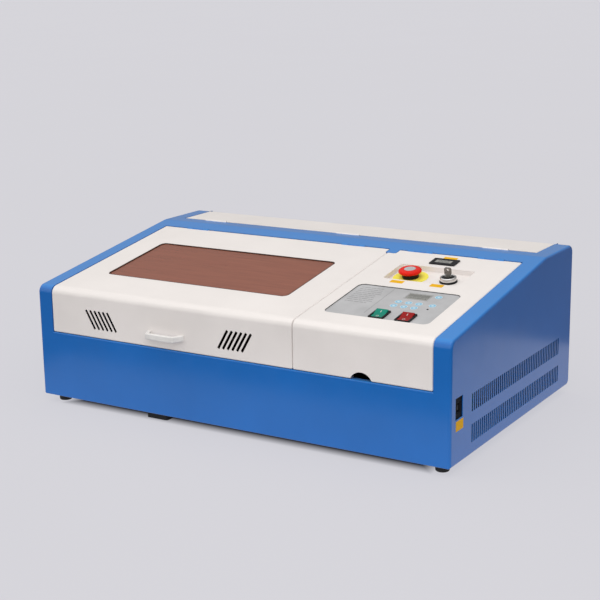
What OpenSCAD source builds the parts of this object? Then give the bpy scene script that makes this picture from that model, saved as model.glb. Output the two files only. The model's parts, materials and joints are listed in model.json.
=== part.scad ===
// Desktop laser cutter: sheet-metal case, hinged covers, control panel, XY gantry and glass laser tube.
// X runs to the right, Y to the rear, Z up; the origin is on the floor under the middle of the object.

/* [Case] */
// Width of the case
body_w = 800; // [760:5:1000]
// Depth of the case, front face to rear face
body_d = 500; // [490:5:640]
// Height of the case without its feet
body_h = 256; // [246:2:320]
// Height of the front face, up to the corner where the slope starts
front_h = 198.4; // [194:0.2:205]
// Depth of the level top behind the slope
top_flat = 126; // [120:1:140]
// Thickness of the sheet metal
sheet_t = 1.5; // [1.2:0.1:2]
// Outer radius of the bend between front and slope
bend_r = 14; // [14:1:24]
// Outer radius of the rear top edge
rear_r = 14; // [8:1:18]
// Outer radius of the rear bottom edge
base_r = 10; // [6:1:14]
// Width of the coloured rim on both sides of the covers
rim_w = 29.5; // [24:0.5:36]
// Height of the front panel below the covers
front_panel_h = 117.5; // [110:0.5:126]

/* [Feet] */
// Height of the feet
foot_h = 14; // [10:1:20]
// Radius of a corner foot
foot_r = 12; // [9:0.5:14]
// Distance of a front foot's axis from the side of the case
foot_in_x = 26; // [18:1:40]
// Distance of a rear foot's axis from the side of the case
rear_foot_in_x = 44; // [18:1:60]
// Distance of a corner foot's axis from the front or rear of the case
foot_in_y = 28; // [24:1:50]
// Width of the pad foot under the work chamber
pad_w = 43; // [30:1:60]
// Depth of the pad foot
pad_l = 26; // [20:1:40]
// Distance of the pad foot's middle from the left side of the case
pad_in_x = 240; // [150:1:300]

/* [Covers] */
// Width of the control panel cover's opening
panel_w = 246.5; // [240:0.5:280]
// Depth of the fixed strip between the front covers and the tube cover
strip_w = 60; // [56:1:70]
// Depth of the tube cover, from the strip to the rear face
cover_d = 99; // [94:1:104]
// Height of the tube cover's flap on the rear face
cover_flap = 26; // [20:1:32]
// Gap round a cover
seam_gap = 1; // [0.6:0.1:2]
// Gap along a cover's hinged edge
hinge_gap = 3; // [2.8:0.1:4]
// Depth of the lip folded down along the edges of a cover
lip_h = 12; // [8:0.5:14]
// Width of the strip's tab between lid and panel cover
tab_w = 20; // [14:1:26]
// Length of the tab
tab_l = 19; // [12:1:24]
// Distance that the tab reaches past the seam on the lid's side
tab_lap = 3; // [2:0.5:6]

/* [Lid] */
// Width of the window
win_w = 376; // [300:1:400]
// Length of the window along the slope
win_l = 171.5; // [120:0.5:200]
// Distance of the window from the lid's left edge
win_side = 55.5; // [40:0.5:80]
// Distance of the window from the front corner, along the slope
win_front = 86; // [60:1:110]
// Corner radius of the window
win_r = 11; // [4:1:16]
// Thickness of the window pane
pane_t = 3; // [2:0.5:4]
// Overlap of the pane beyond the window
pane_lap = 10; // [6:1:14]
// Slots in one group on the lid's front
slots = 6; // [3:1:8]
// Distance between slots
slot_pitch = 9.2; // [7:0.1:12]
// Width of a slot
slot_w = 4; // [2:0.5:5]
// Height of a slot
slot_h = 33.5; // [20:0.5:40]
// Lean of a slot, in degrees
slot_lean = 30; // [0:1:40]
// Height of the slots' lower end above the lid's lower edge
slot_up = 16; // [8:0.5:20]
// Distance of a group's middle from the lid's middle
slot_out = 138; // [100:1:180]
// Width of the handle where it meets the lid
handle_w = 76; // [60:1:110]
// Width of the handle's front bar
handle_bar_w = 57; // [40:1:90]
// How far the handle stands out
handle_out = 20; // [16:1:30]
// Height of the handle
handle_h = 10; // [6:0.5:16]
// Thickness of the handle's bar and legs
handle_t = 6.5; // [4:0.5:8]
// Height of the handle's middle above the lid's lower edge
handle_up = 23.5; // [12:0.5:30]

/* [Side openings] */
// Slots in a row of the side vents
vents = 48; // [20:1:52]
// Distance between vent slots
vent_pitch = 7.7; // [6:0.1:9]
// Width of a vent slot
vent_w = 4; // [2:0.5:5]
// Height of a vent slot
vent_h = 29; // [20:1:34]
// Distance of the first vent slot from the front
vent_front = 76; // [60:1:120]
// Heights of the two rows' lower edges above the floor
vent_low = 34.5; // [28:0.5:45]
vent_high = 84; // [70:0.5:100]
// Width of the connector opening
port_w = 26; // [18:1:34]
// Height of the connector opening
port_h = 34.5; // [20:0.5:40]
// Distance of the connector opening from the front
port_front = 16.5; // [10:0.5:30]
// Height of the connector opening's lower edge above the floor
port_z = 86.5; // [60:0.5:110]

/* [Hinges] */
// Length of a hinge
hinge_len = 48; // [36:1:60]
// Outer radius of a knuckle
knuckle_r = 2.6; // [2.4:0.1:3]
// Radius of a hinge pin
pin_r = 1.25; // [1:0.05:1.4]
// Clearance of a pin in the moving knuckle
pin_play = 0.06; // [0.02:0.01:0.09]
// Thickness of a hinge leaf
leaf_t = 1.2; // [0.8:0.1:1.5]
// Width of a hinge leaf
leaf_w = 20; // [12:1:22]
// Depth of the hinge axis under the sheet's outer face
axis_drop = 1; // [0.6:0.1:1.3]

/* [Controls] */
// Distance of the controls' centre line from the panel cover's middle
control_off = -3; // [-10:0.5:10]
// Keypad size across the panel
keypad_w = 185; // [160:1:200]
// Keypad size along the slope
keypad_l = 128.5; // [120:0.5:134]
// Distance of the keypad from the front corner, along the slope
keypad_front = 49.5; // [40:0.5:56]
// Corner radius of the keypad
keypad_r = 11; // [4:1:16]
// Thickness of the keypad plate
keypad_t = 3.2; // [2.8:0.1:5]
// Radius of a key
key_r = 6.4; // [4:0.1:7]
// Travel of a key
key_travel = 0.5; // [0.2:0.1:0.8]
// Distance between neighbouring keys
key_pitch = 18; // [15:0.5:22]
// Display size across the panel
display_w = 40; // [30:1:50]
// Display size along the slope
display_l = 23; // [16:1:28]
// Rocker frame size across the panel
rocker_w = 26; // [22:0.5:32]
// Rocker frame size along the slope
rocker_l = 32; // [28:0.5:38]
// Tilt of a rocker to either side, in degrees
rocker_tilt = 10; // [5:1:12]
// Pocket size across the panel
pocket_w = 137.5; // [130:0.5:160]
// Pocket size along the slope
pocket_l = 70; // [64:1:76]
// Distance of the pocket's front wall from the front corner, along the slope
pocket_front = 211.5; // [200:0.5:220]
// Depth of the pocket
pocket_d = 9; // [4:0.5:14]
// Distance between emergency stop and key lock
stop_pitch = 70; // [66:1:90]
// Radius of the emergency stop's disc
disc_r = 30; // [24:0.5:32]
// Radius of the emergency stop's collar
collar_r = 14.2; // [12:0.2:16]
// Radius of the emergency stop's cap
cap_r = 19.8; // [17:0.2:24]
// Push travel of the emergency stop
stop_travel = 4; // [2:0.5:5]
// Radius of the key lock's base ring
lock_r = 15; // [12:0.5:18]
// Meter bezel size across the panel
meter_w = 47.5; // [36:0.5:60]
// Meter bezel size along the slope
meter_l = 27.5; // [22:0.5:32]
// Distance of the meter's middle from the strip, along the slope
meter_back = 38; // [32:1:46]
// Radius of the finger notch in the panel cover's lower edge
notch_r = 21; // [14:1:24]
// Height of the finger notch
notch_h = 12.5; // [6:0.5:14]

/* [Gantry] */
// Radius of a Y rod
y_rod_r = 5; // [4:0.5:6]
// Radius of an X rod
x_rod_r = 4; // [3:0.5:5]
// Running clearance of rods and shafts in their bores
run_play = 0.05; // [0.02:0.01:0.09]
// Height of the Y rods above the floor
rod_z = 150; // [146:1:154]
// Distance of the left Y rod from the left side of the case
left_rod_in = 48; // [46:1:56]
// Distance of the right Y rod from the electronics wall
right_rod_in = 20; // [20:1:30]
// Width of a gantry end block
block_w = 34; // [30:1:36]
// Length of a gantry end block
block_l = 40; // [36:1:46]
// Height of a gantry end block
block_h = 24; // [20:1:26]
// Distance between the two X rods
x_rod_pitch = 24; // [22:1:26]
// Working travel of the gantry
y_travel = 200; // [120:5:200]
// Working travel of the head
x_travel = 300; // [200:5:300]
// Pitch radius of the belt pulleys
pulley_r = 6.366; // [5:0.001:7]
// Width of a belt
belt_w = 6; // [5:0.5:7]
// Thickness of a belt
belt_t = 1.3; // [1:0.1:1.5]
// Side of a stepper motor
motor_w = 42; // [34:1:42]
// Length of a stepper motor
motor_l = 34; // [26:1:40]
// Height of the cutting bed's top above the floor
bed_top = 95; // [80:1:100]
// Depth of the bed's bars
bed_t = 18; // [12:1:24]
// Distance between the bed's blades
blade_pitch = 24; // [16:1:30]

/* [Laser] */
// Depth of the tube bay
bay_d = 112; // [104:1:112]
// Height of the tube bay's shelf above the floor
shelf_z = 150; // [148:1:154]
// Radius of the laser tube
tube_r = 25; // [20:0.5:25]
// Height of the beam and the tube's axis above the floor
beam_z = 185; // [184:1:190]
// Distance of the first beam from the left side of the case
beam_in = 20; // [20:0.5:24]
// Room at either end of the tube
tube_room = 62; // [56:1:90]

/* [Exhaust] */
// Width of the exhaust hood
hood_w = 210; // [180:5:230]
// Height of the exhaust hood
hood_h = 106; // [104:1:110]
// Depth of the exhaust hood without its spigot
hood_d = 35; // [30:1:50]
// Outer radius of the spigot for the hose
spigot_r = 50; // [40:1:51]
// Length of the spigot
spigot_l = 40; // [34:1:60]
// Wall of the hood
hood_t = 2.5; // [2:0.5:4]
// Distance of the hood's middle from the left side of the case
hood_in = 280; // [240:5:320]
// Height of the hood's middle above the floor
hood_z = 87; // [86:1:88]

/* [Rear fittings] */
// Distance of the mains inlet from the right side of the case
inlet_in = 100; // [60:5:200]
// Height of the mains inlet above the floor
inlet_z = 60; // [40:1:100]
// Outer radius of a hose barb
barb_r = 4.5; // [3:0.25:6]
// Length of a hose barb behind its nut
barb_l = 18; // [12:1:24]
// Distance of the nearer hose barb from the right side of the case
barb_in = 150; // [100:5:300]
// Distance between the two hose barbs
barb_pitch = 50; // [36:1:80]

/* [Hidden] */
$fn = 64;

blue = "royalblue";
white = "whitesmoke";
steel = "silver";
dark = "dimgray";

// Steps in a rounded corner of an outline
arc_steps = 8;
// Overshoot of a cut past the face that it opens
cut = 1;
// Clearance between pieces that are held still in each other
snug = 0.05;
// Clearance between pieces that move past each other
clear = 0.4;

// Case outline seen from the side, as (distance behind the front, height)
slope_run = body_d - top_flat;
break_z = foot_h + front_h;
top_z = foot_h + body_h;
slope_deg = atan((top_z - break_z) / slope_run);
corners = [[0, foot_h], [0, break_z], [slope_run, top_z], [body_d, top_z], [body_d, foot_h]];
crown_r = 60;
radii = [0, bend_r, crown_r, rear_r, base_r];

// Places across and along the case
front_y = (handle_out - hood_d - spigot_l - body_d) / 2;
side_x = body_w / 2;
inner_x = side_x - sheet_t;
rim_x = side_x - rim_w;
seam_x = rim_x - panel_w;
floor_z = foot_h + sheet_t;
front_top = foot_h + front_panel_h;
cover_low = front_top + seam_gap;
strip_back = body_d - cover_d;
strip_front = strip_back - strip_w;
strip_s = strip_front / cos(slope_deg);
cover_s = strip_s - hinge_gap;
flap_low = top_z - cover_flap;
bay_y = body_d - sheet_t - bay_d;

// Lid and panel cover
lid_x0 = -rim_x + seam_gap;
lid_x1 = seam_x - seam_gap / 2;
lid_mid = (lid_x0 + lid_x1) / 2;
panel_x0 = seam_x + seam_gap / 2;
panel_x1 = rim_x - seam_gap;
control_x = (panel_x0 + panel_x1) / 2 + control_off;
tab_x0 = seam_x - tab_lap;
tab_x1 = tab_x0 + tab_w;
tab_s = strip_s - tab_l;
win_x = lid_x0 + win_side + win_w / 2;
win_s = win_front + win_l / 2;

// Hinges: the axis runs in the middle of the hinge gap
hinge_s = strip_s - hinge_gap / 2;
cover_hinge_y = strip_back + hinge_gap / 2;
knuckle_room = knuckle_r + 0.6;
hinge_inset = 76;
lid_hinges = [lid_x0 + hinge_inset, lid_x1 - hinge_inset];
panel_hinges = [panel_x0 + hinge_inset - 20, panel_x1 - hinge_inset + 20];
cover_hinges = [-rim_x + hinge_inset, 0, rim_x - hinge_inset];
knuckle_gap = 0.3;
mid_knuckle = hinge_len / 2;

// Controls on the slope
keypad_s = keypad_front + keypad_l / 2;
keypad_lap = 5;
key_proud = 0.3;
key_play = 0.3;
key_sink = 1.4;
rocker_s = keypad_front + 1.2 + rocker_l / 2;
rocker_x = control_x + 1;
rocker_pitch = 46;
pocket_s = pocket_front + pocket_l / 2;
pocket_r = 5;
stop_x = control_x - stop_pitch / 2;
lock_x = control_x + stop_pitch / 2;
meter_s = strip_s - meter_back;
notch_x = control_x + 3.5;
display_x = control_x + 26;
display_s = keypad_s + 40;
key_col = control_x + 4.5;
key_row = keypad_s - 5.5;
key_row_pitch = 17;
keys = [
    ["power_key", control_x + 58.5, keypad_s + 47],
    ["key_up_left", key_col, key_row + key_row_pitch],
    ["key_up_middle", key_col + key_pitch, key_row + key_row_pitch],
    ["key_up_right", key_col + 2 * key_pitch, key_row + key_row_pitch],
    ["key_low_left", key_col, key_row],
    ["key_low_middle", key_col + key_pitch, key_row],
    ["key_low_right", key_col + 2 * key_pitch, key_row],
    ["test_key", control_x + 64.5, key_row + key_row_pitch]
];

// Emergency stop, heights above the pocket's floor
disc_t = 1;
collar_top = 8;
cap_low = 8.7;
cap_top = 16.5;
cap_recess = cap_low + stop_travel + 0.3;
barrel_r = 11;
barrel_low = -22;
block_low = -45;
stem_r = 5;
stem_low = -15;
stem_top = cap_recess + 2;

// Key lock, heights above the pocket's floor
lock_ring_t = 3;
lock_top = 9;
plug_r = 6;
plug_low = -12;
lock_barrel_r = 9.5;
lock_barrel_low = -25;
bow_w = 12.5;
bow_t = 2.2;
bow_h = 15;

// Rocker: frame on the keypad plate, paddle on two trunnions
rocker_frame_t = 2.5;
rocker_wall = 1.5;
rocker_depth = 16;
paddle_w = rocker_w - 6;
paddle_l = rocker_l - 7;
paddle_high = 4.6;
paddle_mid = 2.6;
paddle_low = -5;
pivot_n = -sheet_t - 1;
trunnion_r = 1.5;

// Gantry and rails
left_x = -side_x + left_rod_in;
right_x = seam_x - right_rod_in;
home_y = bay_y - 76.5;
rail_top = rod_z - 40;
rail_h = 12;
rail_w = 20;
leg_w = 16;
cross_z = rail_top - 30;
front_bracket_y = 20;
rear_bracket_y = bay_y - 22;
bracket_t = 8;
shaft_r = 4;
drive_z = rod_z - block_h / 2 - 13.6;
drive_y = home_y + block_l / 2 + 23;
idler_y = 40;
bearing_t = 4;
bearing_off = 8;
belt_in_r = pulley_r - 0.15;
wheel_r = belt_in_r - 0.35;
flange_r = belt_in_r + belt_t + 1;
flange_t = 1;
belt_side = 0.5;
clip_wall = 2;

// X drive on top of the gantry
x_belt_z = rod_z + block_h / 2 + 42;
x_motor_x = right_x - 5;
x_motor_top = rod_z + block_h / 2 + motor_l;
idler_pin_r = 2.5;
motor_shaft_r = 2.5;
post_r = 6;

// Head
head_x = left_x + 62;
head_w = 50;
upright_w = 32;
upright_t = 7;
beam_off = 45;
beam_y = home_y - beam_off;
beam_x = -side_x + beam_in;
barrel_hole = 5;
nozzle_z = rod_z - 14;

// Laser tube
tube_y = body_d - sheet_t - bay_d / 2;
tube_x0 = -side_x + tube_room;
tube_x1 = side_x - tube_room;
tube_wall = 2;
core_r = 7;
end_r = 11;
end_l = 16;
saddle_w = 26;
saddle_in = 130;

// Exhaust
hood_x = -side_x + hood_in;
hood_flange = 13;
hood_flange_t = 3;
spigot_wall = 2.5;
fan_r = spigot_r - spigot_wall - 2;
fan_hub_r = 15;
fan_shaft_r = 3;
fan_blades = 7;
screw_r = 2;
screw_head_r = 3.8;
screw_head_t = 2.4;
hood_screws = [
    for (i = [-1, 0, 1], j = [-1, 1])
        [hood_x + i * (hood_w / 2 + hood_flange / 2), hood_z + j * (hood_h / 2 + hood_flange / 2)]
];

// Rear fittings
inlet_x = side_x - inlet_in;
inlet_w = 28;
inlet_h = 20;
inlet_flange_w = 50;
inlet_flange_t = 2;
inlet_depth = 24;
inlet_screws = [for (i = [-1, 1]) [inlet_x + i * (inlet_flange_w / 2 - 5), inlet_z]];
barb_z = beam_z + 25;
barb_bore_r = barb_r - 1.5;
barb_nut_r = barb_r * 2;
barb_nut_t = 5;
barb_xs = [side_x - barb_in, side_x - barb_in - barb_pitch];

// Power supply and control board
supply_w = 168;
supply_l = 150;
supply_h = 95;
supply_x = seam_x + 28;
supply_y = bay_y - 172;
board_t = 1.6;
board_off = 14;
board_l = 100;
board_h = 60;
socket_w = 12;
socket_h = 16;

// Points of a corner rounded to radius r, between the neighbours a and b
function round_corner(a, p, b, r) =
    let (
        u = (a - p) / norm(a - p),
        v = (b - p) / norm(b - p),
        half = acos(u * v) / 2,
        mid = p + (u + v) / norm(u + v) * r / sin(half),
        from = p + u * r / tan(half) - mid,
        to = p + v * r / tan(half) - mid,
        a0 = atan2(from[1], from[0]),
        turn = ((atan2(to[1], to[0]) - a0) % 360 + 540) % 360 - 180
    )
    [for (i = [0:arc_steps]) mid + r * [cos(a0 + turn * i / arc_steps), sin(a0 + turn * i / arc_steps)]];

function rounded(pts, rs) =
    let (n = len(pts))
    [
        for (i = [0:n - 1])
            for (q = rs[i] > 0
                    ? round_corner(pts[(i + n - 1) % n], pts[i], pts[(i + 1) % n], rs[i])
                    : [pts[i]])
                q
    ];

// Unit normal on the right of the way from a to b
function right_of(a, b) = [(b - a)[1], -(b - a)[0]] / norm(b - a);

// Case corners moved inwards by d
function inset_corners(d) =
    let (n = len(corners))
    [
        for (i = [0:n - 1])
            let (
                before = right_of(corners[(i + n - 1) % n], corners[i]),
                after = right_of(corners[i], corners[(i + 1) % n])
            )
            corners[i] + (before + after) * d / (1 + before * after)
    ];

function outline(d) = rounded(inset_corners(d), [for (r = radii) max(r - d, 0)]);

// Point on the slope at s from the front corner and n above the outer face
function slope_point(s, n) =
    [
        s * cos(slope_deg) - n * sin(slope_deg),
        break_z + s * sin(slope_deg) + n * cos(slope_deg)
    ];

// Points of a cover's section at depth d: up the front, round the bend and up the slope
function fold(d, low, s) =
    let (mid = [bend_r, break_z + bend_r * tan(slope_deg) - bend_r / cos(slope_deg)])
    concat(
        [[d, low]],
        [
            for (i = [0:arc_steps])
                let (a = 180 - (90 - slope_deg) * i / arc_steps)
                mid + (bend_r - d) * [cos(a), sin(a)]
        ],
        [slope_point(s, -d)]
    );

function reversed(pts) = [for (i = [len(pts) - 1:-1:0]) pts[i]];

// Points of a rectangle with round corners about the origin
function round_rect(w, l, r) =
    rounded([[-w, -l] / 2, [-w, l] / 2, [w, l] / 2, [w, -l] / 2], [r, r, r, r]);

// Everything is drawn with Y counted from the front face, then moved to the origin
module in_frame() {
    translate([0, front_y, 0])
        children();
}

module box(low, high) {
    translate(low)
        cube(high - low);
}

// Extrudes a side-view outline from x0 to x1
module along_x(x0, x1) {
    translate([x0, 0, 0])
        rotate([90, 0, 90])
            linear_extrude(x1 - x0)
                children();
}

module rod_x(x0, x1, r) {
    translate([x0, 0, 0])
        rotate([0, 90, 0])
            cylinder(h = x1 - x0, r = r);
}

module rod_y(y0, y1, r) {
    translate([0, y0, 0])
        rotate([-90, 0, 0])
            cylinder(h = y1 - y0, r = r);
}

// Places children on the slope: X across, Y up the slope, Z out of it
module on_slope(x, s, n) {
    translate([0, 0, break_z])
        rotate([slope_deg, 0, 0])
            translate([x, s, n])
                children();
}

// Case skin between x0 and x1, one sheet thick
module skin(x0, x1, depth) {
    difference() {
        along_x(x0, x1)
            polygon(outline(0));
        along_x(x0 - cut, x1 + cut)
            polygon(outline(depth));
    }
}

// Folded cover section from depth d0 to depth d1
module fold_sheet(x0, x1, d0, d1) {
    along_x(x0, x1)
        polygon(concat(fold(d0, cover_low, cover_s), reversed(fold(d1, cover_low, cover_s))));
}

// Cover sheet with its end lips and lower lip
module folded_cover(x0, x1) {
    fold_sheet(x0, x1, 0, sheet_t);
    fold_sheet(x0, x0 + sheet_t, 0, lip_h);
    fold_sheet(x1 - sheet_t, x1, 0, lip_h);
    box([x0, 0, cover_low], [x1, lip_h, cover_low + sheet_t]);
}

// Cut that clears the strip's tab at a cover's rear corner
module tab_cut() {
    on_slope(0, 0, 0)
        box([tab_x0 - seam_gap, tab_s - seam_gap, -lip_h - 2 * cut], [tab_x1 + seam_gap, strip_s, cut]);
}

// Hinge pieces: axis along X at the origin, fixed leaf towards +Y, sheet above
leaf_top = axis_drop - sheet_t;
leaf_y0 = knuckle_r + 0.25;

module knuckle(x0, x1, bore_r, side) {
    difference() {
        union() {
            rod_x(x0, x1, knuckle_r);
            if (side > 0)
                box([x0, 0, leaf_top - leaf_t], [x1, leaf_y0 + 1, leaf_top]);
            else
                box([x0, -leaf_y0 - 1, leaf_top - leaf_t], [x1, 0, leaf_top]);
        }
        rod_x(x0 - cut, x1 + cut, bore_r);
    }
}

module fixed_leaf() {
    outer = hinge_len / 2;
    inner = mid_knuckle / 2;
    box([-outer, leaf_y0, leaf_top - leaf_t], [outer, leaf_y0 + leaf_w, leaf_top]);
    knuckle(-outer, -inner - knuckle_gap / 2, pin_r + snug / 2, 1);
    knuckle(inner + knuckle_gap / 2, outer, pin_r + snug / 2, 1);
}

module moving_leaf() {
    outer = hinge_len / 2;
    inner = mid_knuckle / 2 - knuckle_gap / 2;
    box([-outer, -leaf_y0 - leaf_w, leaf_top - leaf_t], [outer, -leaf_y0, leaf_top]);
    knuckle(-inner, inner, pin_r + pin_play, -1);
}

module hinge_pin() {
    rod_x(-hinge_len / 2, hinge_len / 2, pin_r);
}

// Room for the knuckles in the edge of a sheet
module knuckle_cut() {
    half = hinge_len / 2 + seam_gap;
    box([-half, -knuckle_room, -3 * sheet_t], [half, knuckle_room, 3 * sheet_t]);
}

module at_slope_hinges(xs) {
    for (x = xs)
        on_slope(x, hinge_s, -axis_drop)
            children();
}

module at_cover_hinges() {
    for (x = cover_hinges)
        translate([x, cover_hinge_y, top_z - axis_drop])
            rotate([0, 0, 180])
                children();
}

// Case

module base_tray() {
    color(blue)
        in_frame()
            intersection() {
                skin(-inner_x, inner_x, sheet_t);
                union() {
                    box([-side_x, -cut, 0], [side_x, body_d + cut, foot_h + base_r]);
                    box([-side_x, -cut, 0], [side_x, sheet_t + base_r, front_top]);
                }
            }
}

module left_side_panel() {
    color(blue)
        in_frame()
            along_x(-side_x, -inner_x)
                polygon(outline(0));
}

module right_side_panel() {
    color(blue)
        in_frame()
            difference() {
                along_x(inner_x, side_x)
                    polygon(outline(0));
                for (z = [vent_low, vent_high], i = [0:vents - 1])
                    translate([inner_x - cut, vent_front + i * vent_pitch, z])
                        cube([sheet_t + 2 * cut, vent_w, vent_h]);
                translate([inner_x - cut, port_front, port_z])
                    cube([sheet_t + 2 * cut, port_w, port_h]);
            }
}

module edge_rims() {
    color(blue)
        in_frame()
            difference() {
                union() {
                    skin(-inner_x, -rim_x, sheet_t);
                    skin(rim_x, inner_x, sheet_t);
                }
                box([-side_x, -cut, 0], [side_x, slope_run, front_top]);
                box([-side_x, slope_run - cut, 0], [side_x, body_d + cut, flap_low]);
            }
}

module cross_strip() {
    color(blue)
        in_frame()
            difference() {
                union() {
                    difference() {
                        skin(-rim_x, rim_x, sheet_t);
                        on_slope(0, 0, 0)
                            box([-side_x, -body_d, -2 * body_h], [side_x, strip_s, body_h]);
                        box([-side_x, strip_back, 0], [side_x, body_d + cut, top_z + cut]);
                        box([-side_x, -cut, 0], [side_x, body_d + cut, break_z]);
                    }
                    on_slope(0, 0, 0)
                        box([tab_x0, tab_s, -sheet_t], [tab_x1, strip_s + cut, 0]);
                }
                at_slope_hinges(concat(lid_hinges, panel_hinges))
                    knuckle_cut();
                at_cover_hinges()
                    knuckle_cut();
            }
}

module rear_panel() {
    port_half = hood_w / 2 - hood_t - 2;
    port_high = hood_h / 2 - hood_t - 8;
    color(blue)
        in_frame()
            difference() {
                box([-inner_x, body_d - sheet_t, foot_h + base_r], [inner_x, body_d, flap_low]);
                box(
                    [hood_x - port_half, body_d - sheet_t - cut, hood_z - port_high],
                    [hood_x + port_half, body_d + cut, hood_z + port_high]
                );
                box(
                    [inlet_x - inlet_w / 2 - snug, body_d - sheet_t - cut, inlet_z - inlet_h / 2 - snug],
                    [inlet_x + inlet_w / 2 + snug, body_d + cut, inlet_z + inlet_h / 2 + snug]
                );
                for (x = barb_xs)
                    translate([x, 0, barb_z])
                        rod_y(body_d - sheet_t - cut, body_d + cut, barb_r + snug);
                for (p = concat(hood_screws, inlet_screws))
                    translate([p[0], 0, p[1]])
                        rod_y(body_d - sheet_t - cut, body_d + cut, screw_r + snug);
            }
}

module tube_bay_tray() {
    wall_top = top_z - sheet_t - leaf_t - 1;
    color(steel)
        in_frame()
            difference() {
                union() {
                    box([-inner_x, bay_y, shelf_z], [inner_x, body_d - sheet_t, shelf_z + sheet_t]);
                    box([-inner_x, bay_y, shelf_z], [inner_x, bay_y + sheet_t, wall_top]);
                }
                translate([beam_x, 0, beam_z])
                    rod_y(bay_y - cut, bay_y + sheet_t + cut, 2 * barrel_hole);
            }
}

module electronics_wall() {
    drop = lip_h + 2;
    inner = inset_corners(drop);
    low_y = body_d - sheet_t;
    color(steel)
        in_frame()
            along_x(seam_x - sheet_t / 2, seam_x + sheet_t / 2)
                polygon([
                    [drop, floor_z], inner[1], inner[2], [bay_y, top_z - drop],
                    [bay_y, shelf_z], [low_y, shelf_z], [low_y, foot_h + base_r], [bay_y, floor_z]
                ]);
}

module feet() {
    color("black")
        in_frame() {
            for (x = [-1, 1], at = [[foot_in_x, foot_in_y], [rear_foot_in_x, body_d - foot_in_y]])
                translate([x * (side_x - at[0]), at[1], 0])
                    rotate_extrude()
                        polygon([
                            [0, 0], [foot_r - 2, 0], [foot_r - 1, 1], [foot_r, foot_h], [0, foot_h]
                        ]);
            translate([-side_x + pad_in_x, foot_in_y, 0])
                linear_extrude(foot_h)
                    polygon(round_rect(pad_w, pad_l, 4));
        }
}

module screw() {
    rod_y(-sheet_t - 6, 0, screw_r);
    rod_y(0, screw_head_t, screw_head_r);
}

module case_screws() {
    color(dark)
        in_frame() {
            for (p = hood_screws)
                translate([p[0], body_d + hood_flange_t, p[1]])
                    screw();
            for (p = inlet_screws)
                translate([p[0], body_d + inlet_flange_t, p[1]])
                    screw();
        }
}

// Laser tube bay

module laser_tube() {
    color("lavender")
        in_frame()
            translate([0, tube_y, beam_z]) {
                difference() {
                    rod_x(tube_x0, tube_x1, tube_r);
                    rod_x(tube_x0 + tube_wall, tube_x1 - tube_wall, tube_r - tube_wall);
                    rod_x(tube_x0 - cut, tube_x1 + cut, core_r + snug);
                }
                difference() {
                    rod_x(tube_x0 - end_l / 2, tube_x1 + end_l / 2, core_r);
                    rod_x(tube_x0 - end_l, tube_x1 + end_l, core_r - tube_wall);
                }
                for (x = [tube_x0 - end_l, tube_x1 + snug])
                    difference() {
                        rod_x(x, x + end_l - snug, end_r);
                        rod_x(x - cut, x + end_l + cut, core_r + snug);
                    }
            }
}

module tube_saddles() {
    half = tube_r * 0.8;
    color(dark)
        in_frame()
            for (x = [tube_x0 + saddle_in, tube_x1 - saddle_in])
                difference() {
                    union() {
                        box(
                            [x, tube_y - half, shelf_z + sheet_t],
                            [x + saddle_w, tube_y + half, beam_z]
                        );
                        translate([0, tube_y, beam_z])
                            rod_x(x, x + saddle_w, tube_r + 4);
                    }
                    box(
                        [x - cut, tube_y - body_d, shelf_z - body_h],
                        [x + saddle_w + cut, tube_y + body_d, shelf_z + sheet_t]
                    );
                    translate([0, tube_y, beam_z])
                        rod_x(x - cut, x + saddle_w + cut, tube_r + snug);
                }
}

// Mirror at the origin, turning a beam from X to Y, on a post that reaches down by drop
module mirror_mount(drop) {
    rotate([0, 0, -45]) {
        box([-14, 0, -15], [14, 4, 15]);
        rod_y(-3, 0, 10);
        box([-6, 0, -drop], [6, 8, -14]);
    }
}

module first_mirror() {
    color(steel)
        in_frame()
            translate([beam_x, tube_y, beam_z])
                rotate([0, 0, 90])
                    mirror_mount(beam_z - shelf_z - sheet_t);
}

// Electronics bay

module power_supply() {
    wall = 1.2;
    color("lightsteelblue")
        in_frame()
            translate([supply_x, supply_y, floor_z])
                difference() {
                    cube([supply_w, supply_l, supply_h]);
                    translate([wall, wall, wall])
                        cube([supply_w - 2 * wall, supply_l - 2 * wall, supply_h - 2 * wall]);
                    for (i = [0:9])
                        translate([20 + i * 13, -cut, 20])
                            cube([5, supply_l + 2 * cut, supply_h - 40]);
                }
}

module control_board() {
    x = inner_x - board_off;
    z = port_z + port_h / 2;
    y = port_front + port_w / 2;
    low_z = z - board_h + 30;
    color("darkgreen")
        in_frame() {
            box([x - board_t, y - 10, low_z], [x, y - 10 + board_l, low_z + board_h]);
            box(
                [x - cut / 2, y - socket_w / 2, z - socket_h / 2],
                [inner_x - 1, y + socket_w / 2, z + socket_h / 2]
            );
            box([x - 12, y + 30, low_z + 12], [x - board_t / 2, y + 60, low_z + 48]);
            for (dy = [-5, board_l - 15], dz = [6, board_h - 6])
                translate([0, y + dy, low_z + dz])
                    rod_x(x - board_t / 2, inner_x, 3);
        }
}

// Rear fittings

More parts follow.
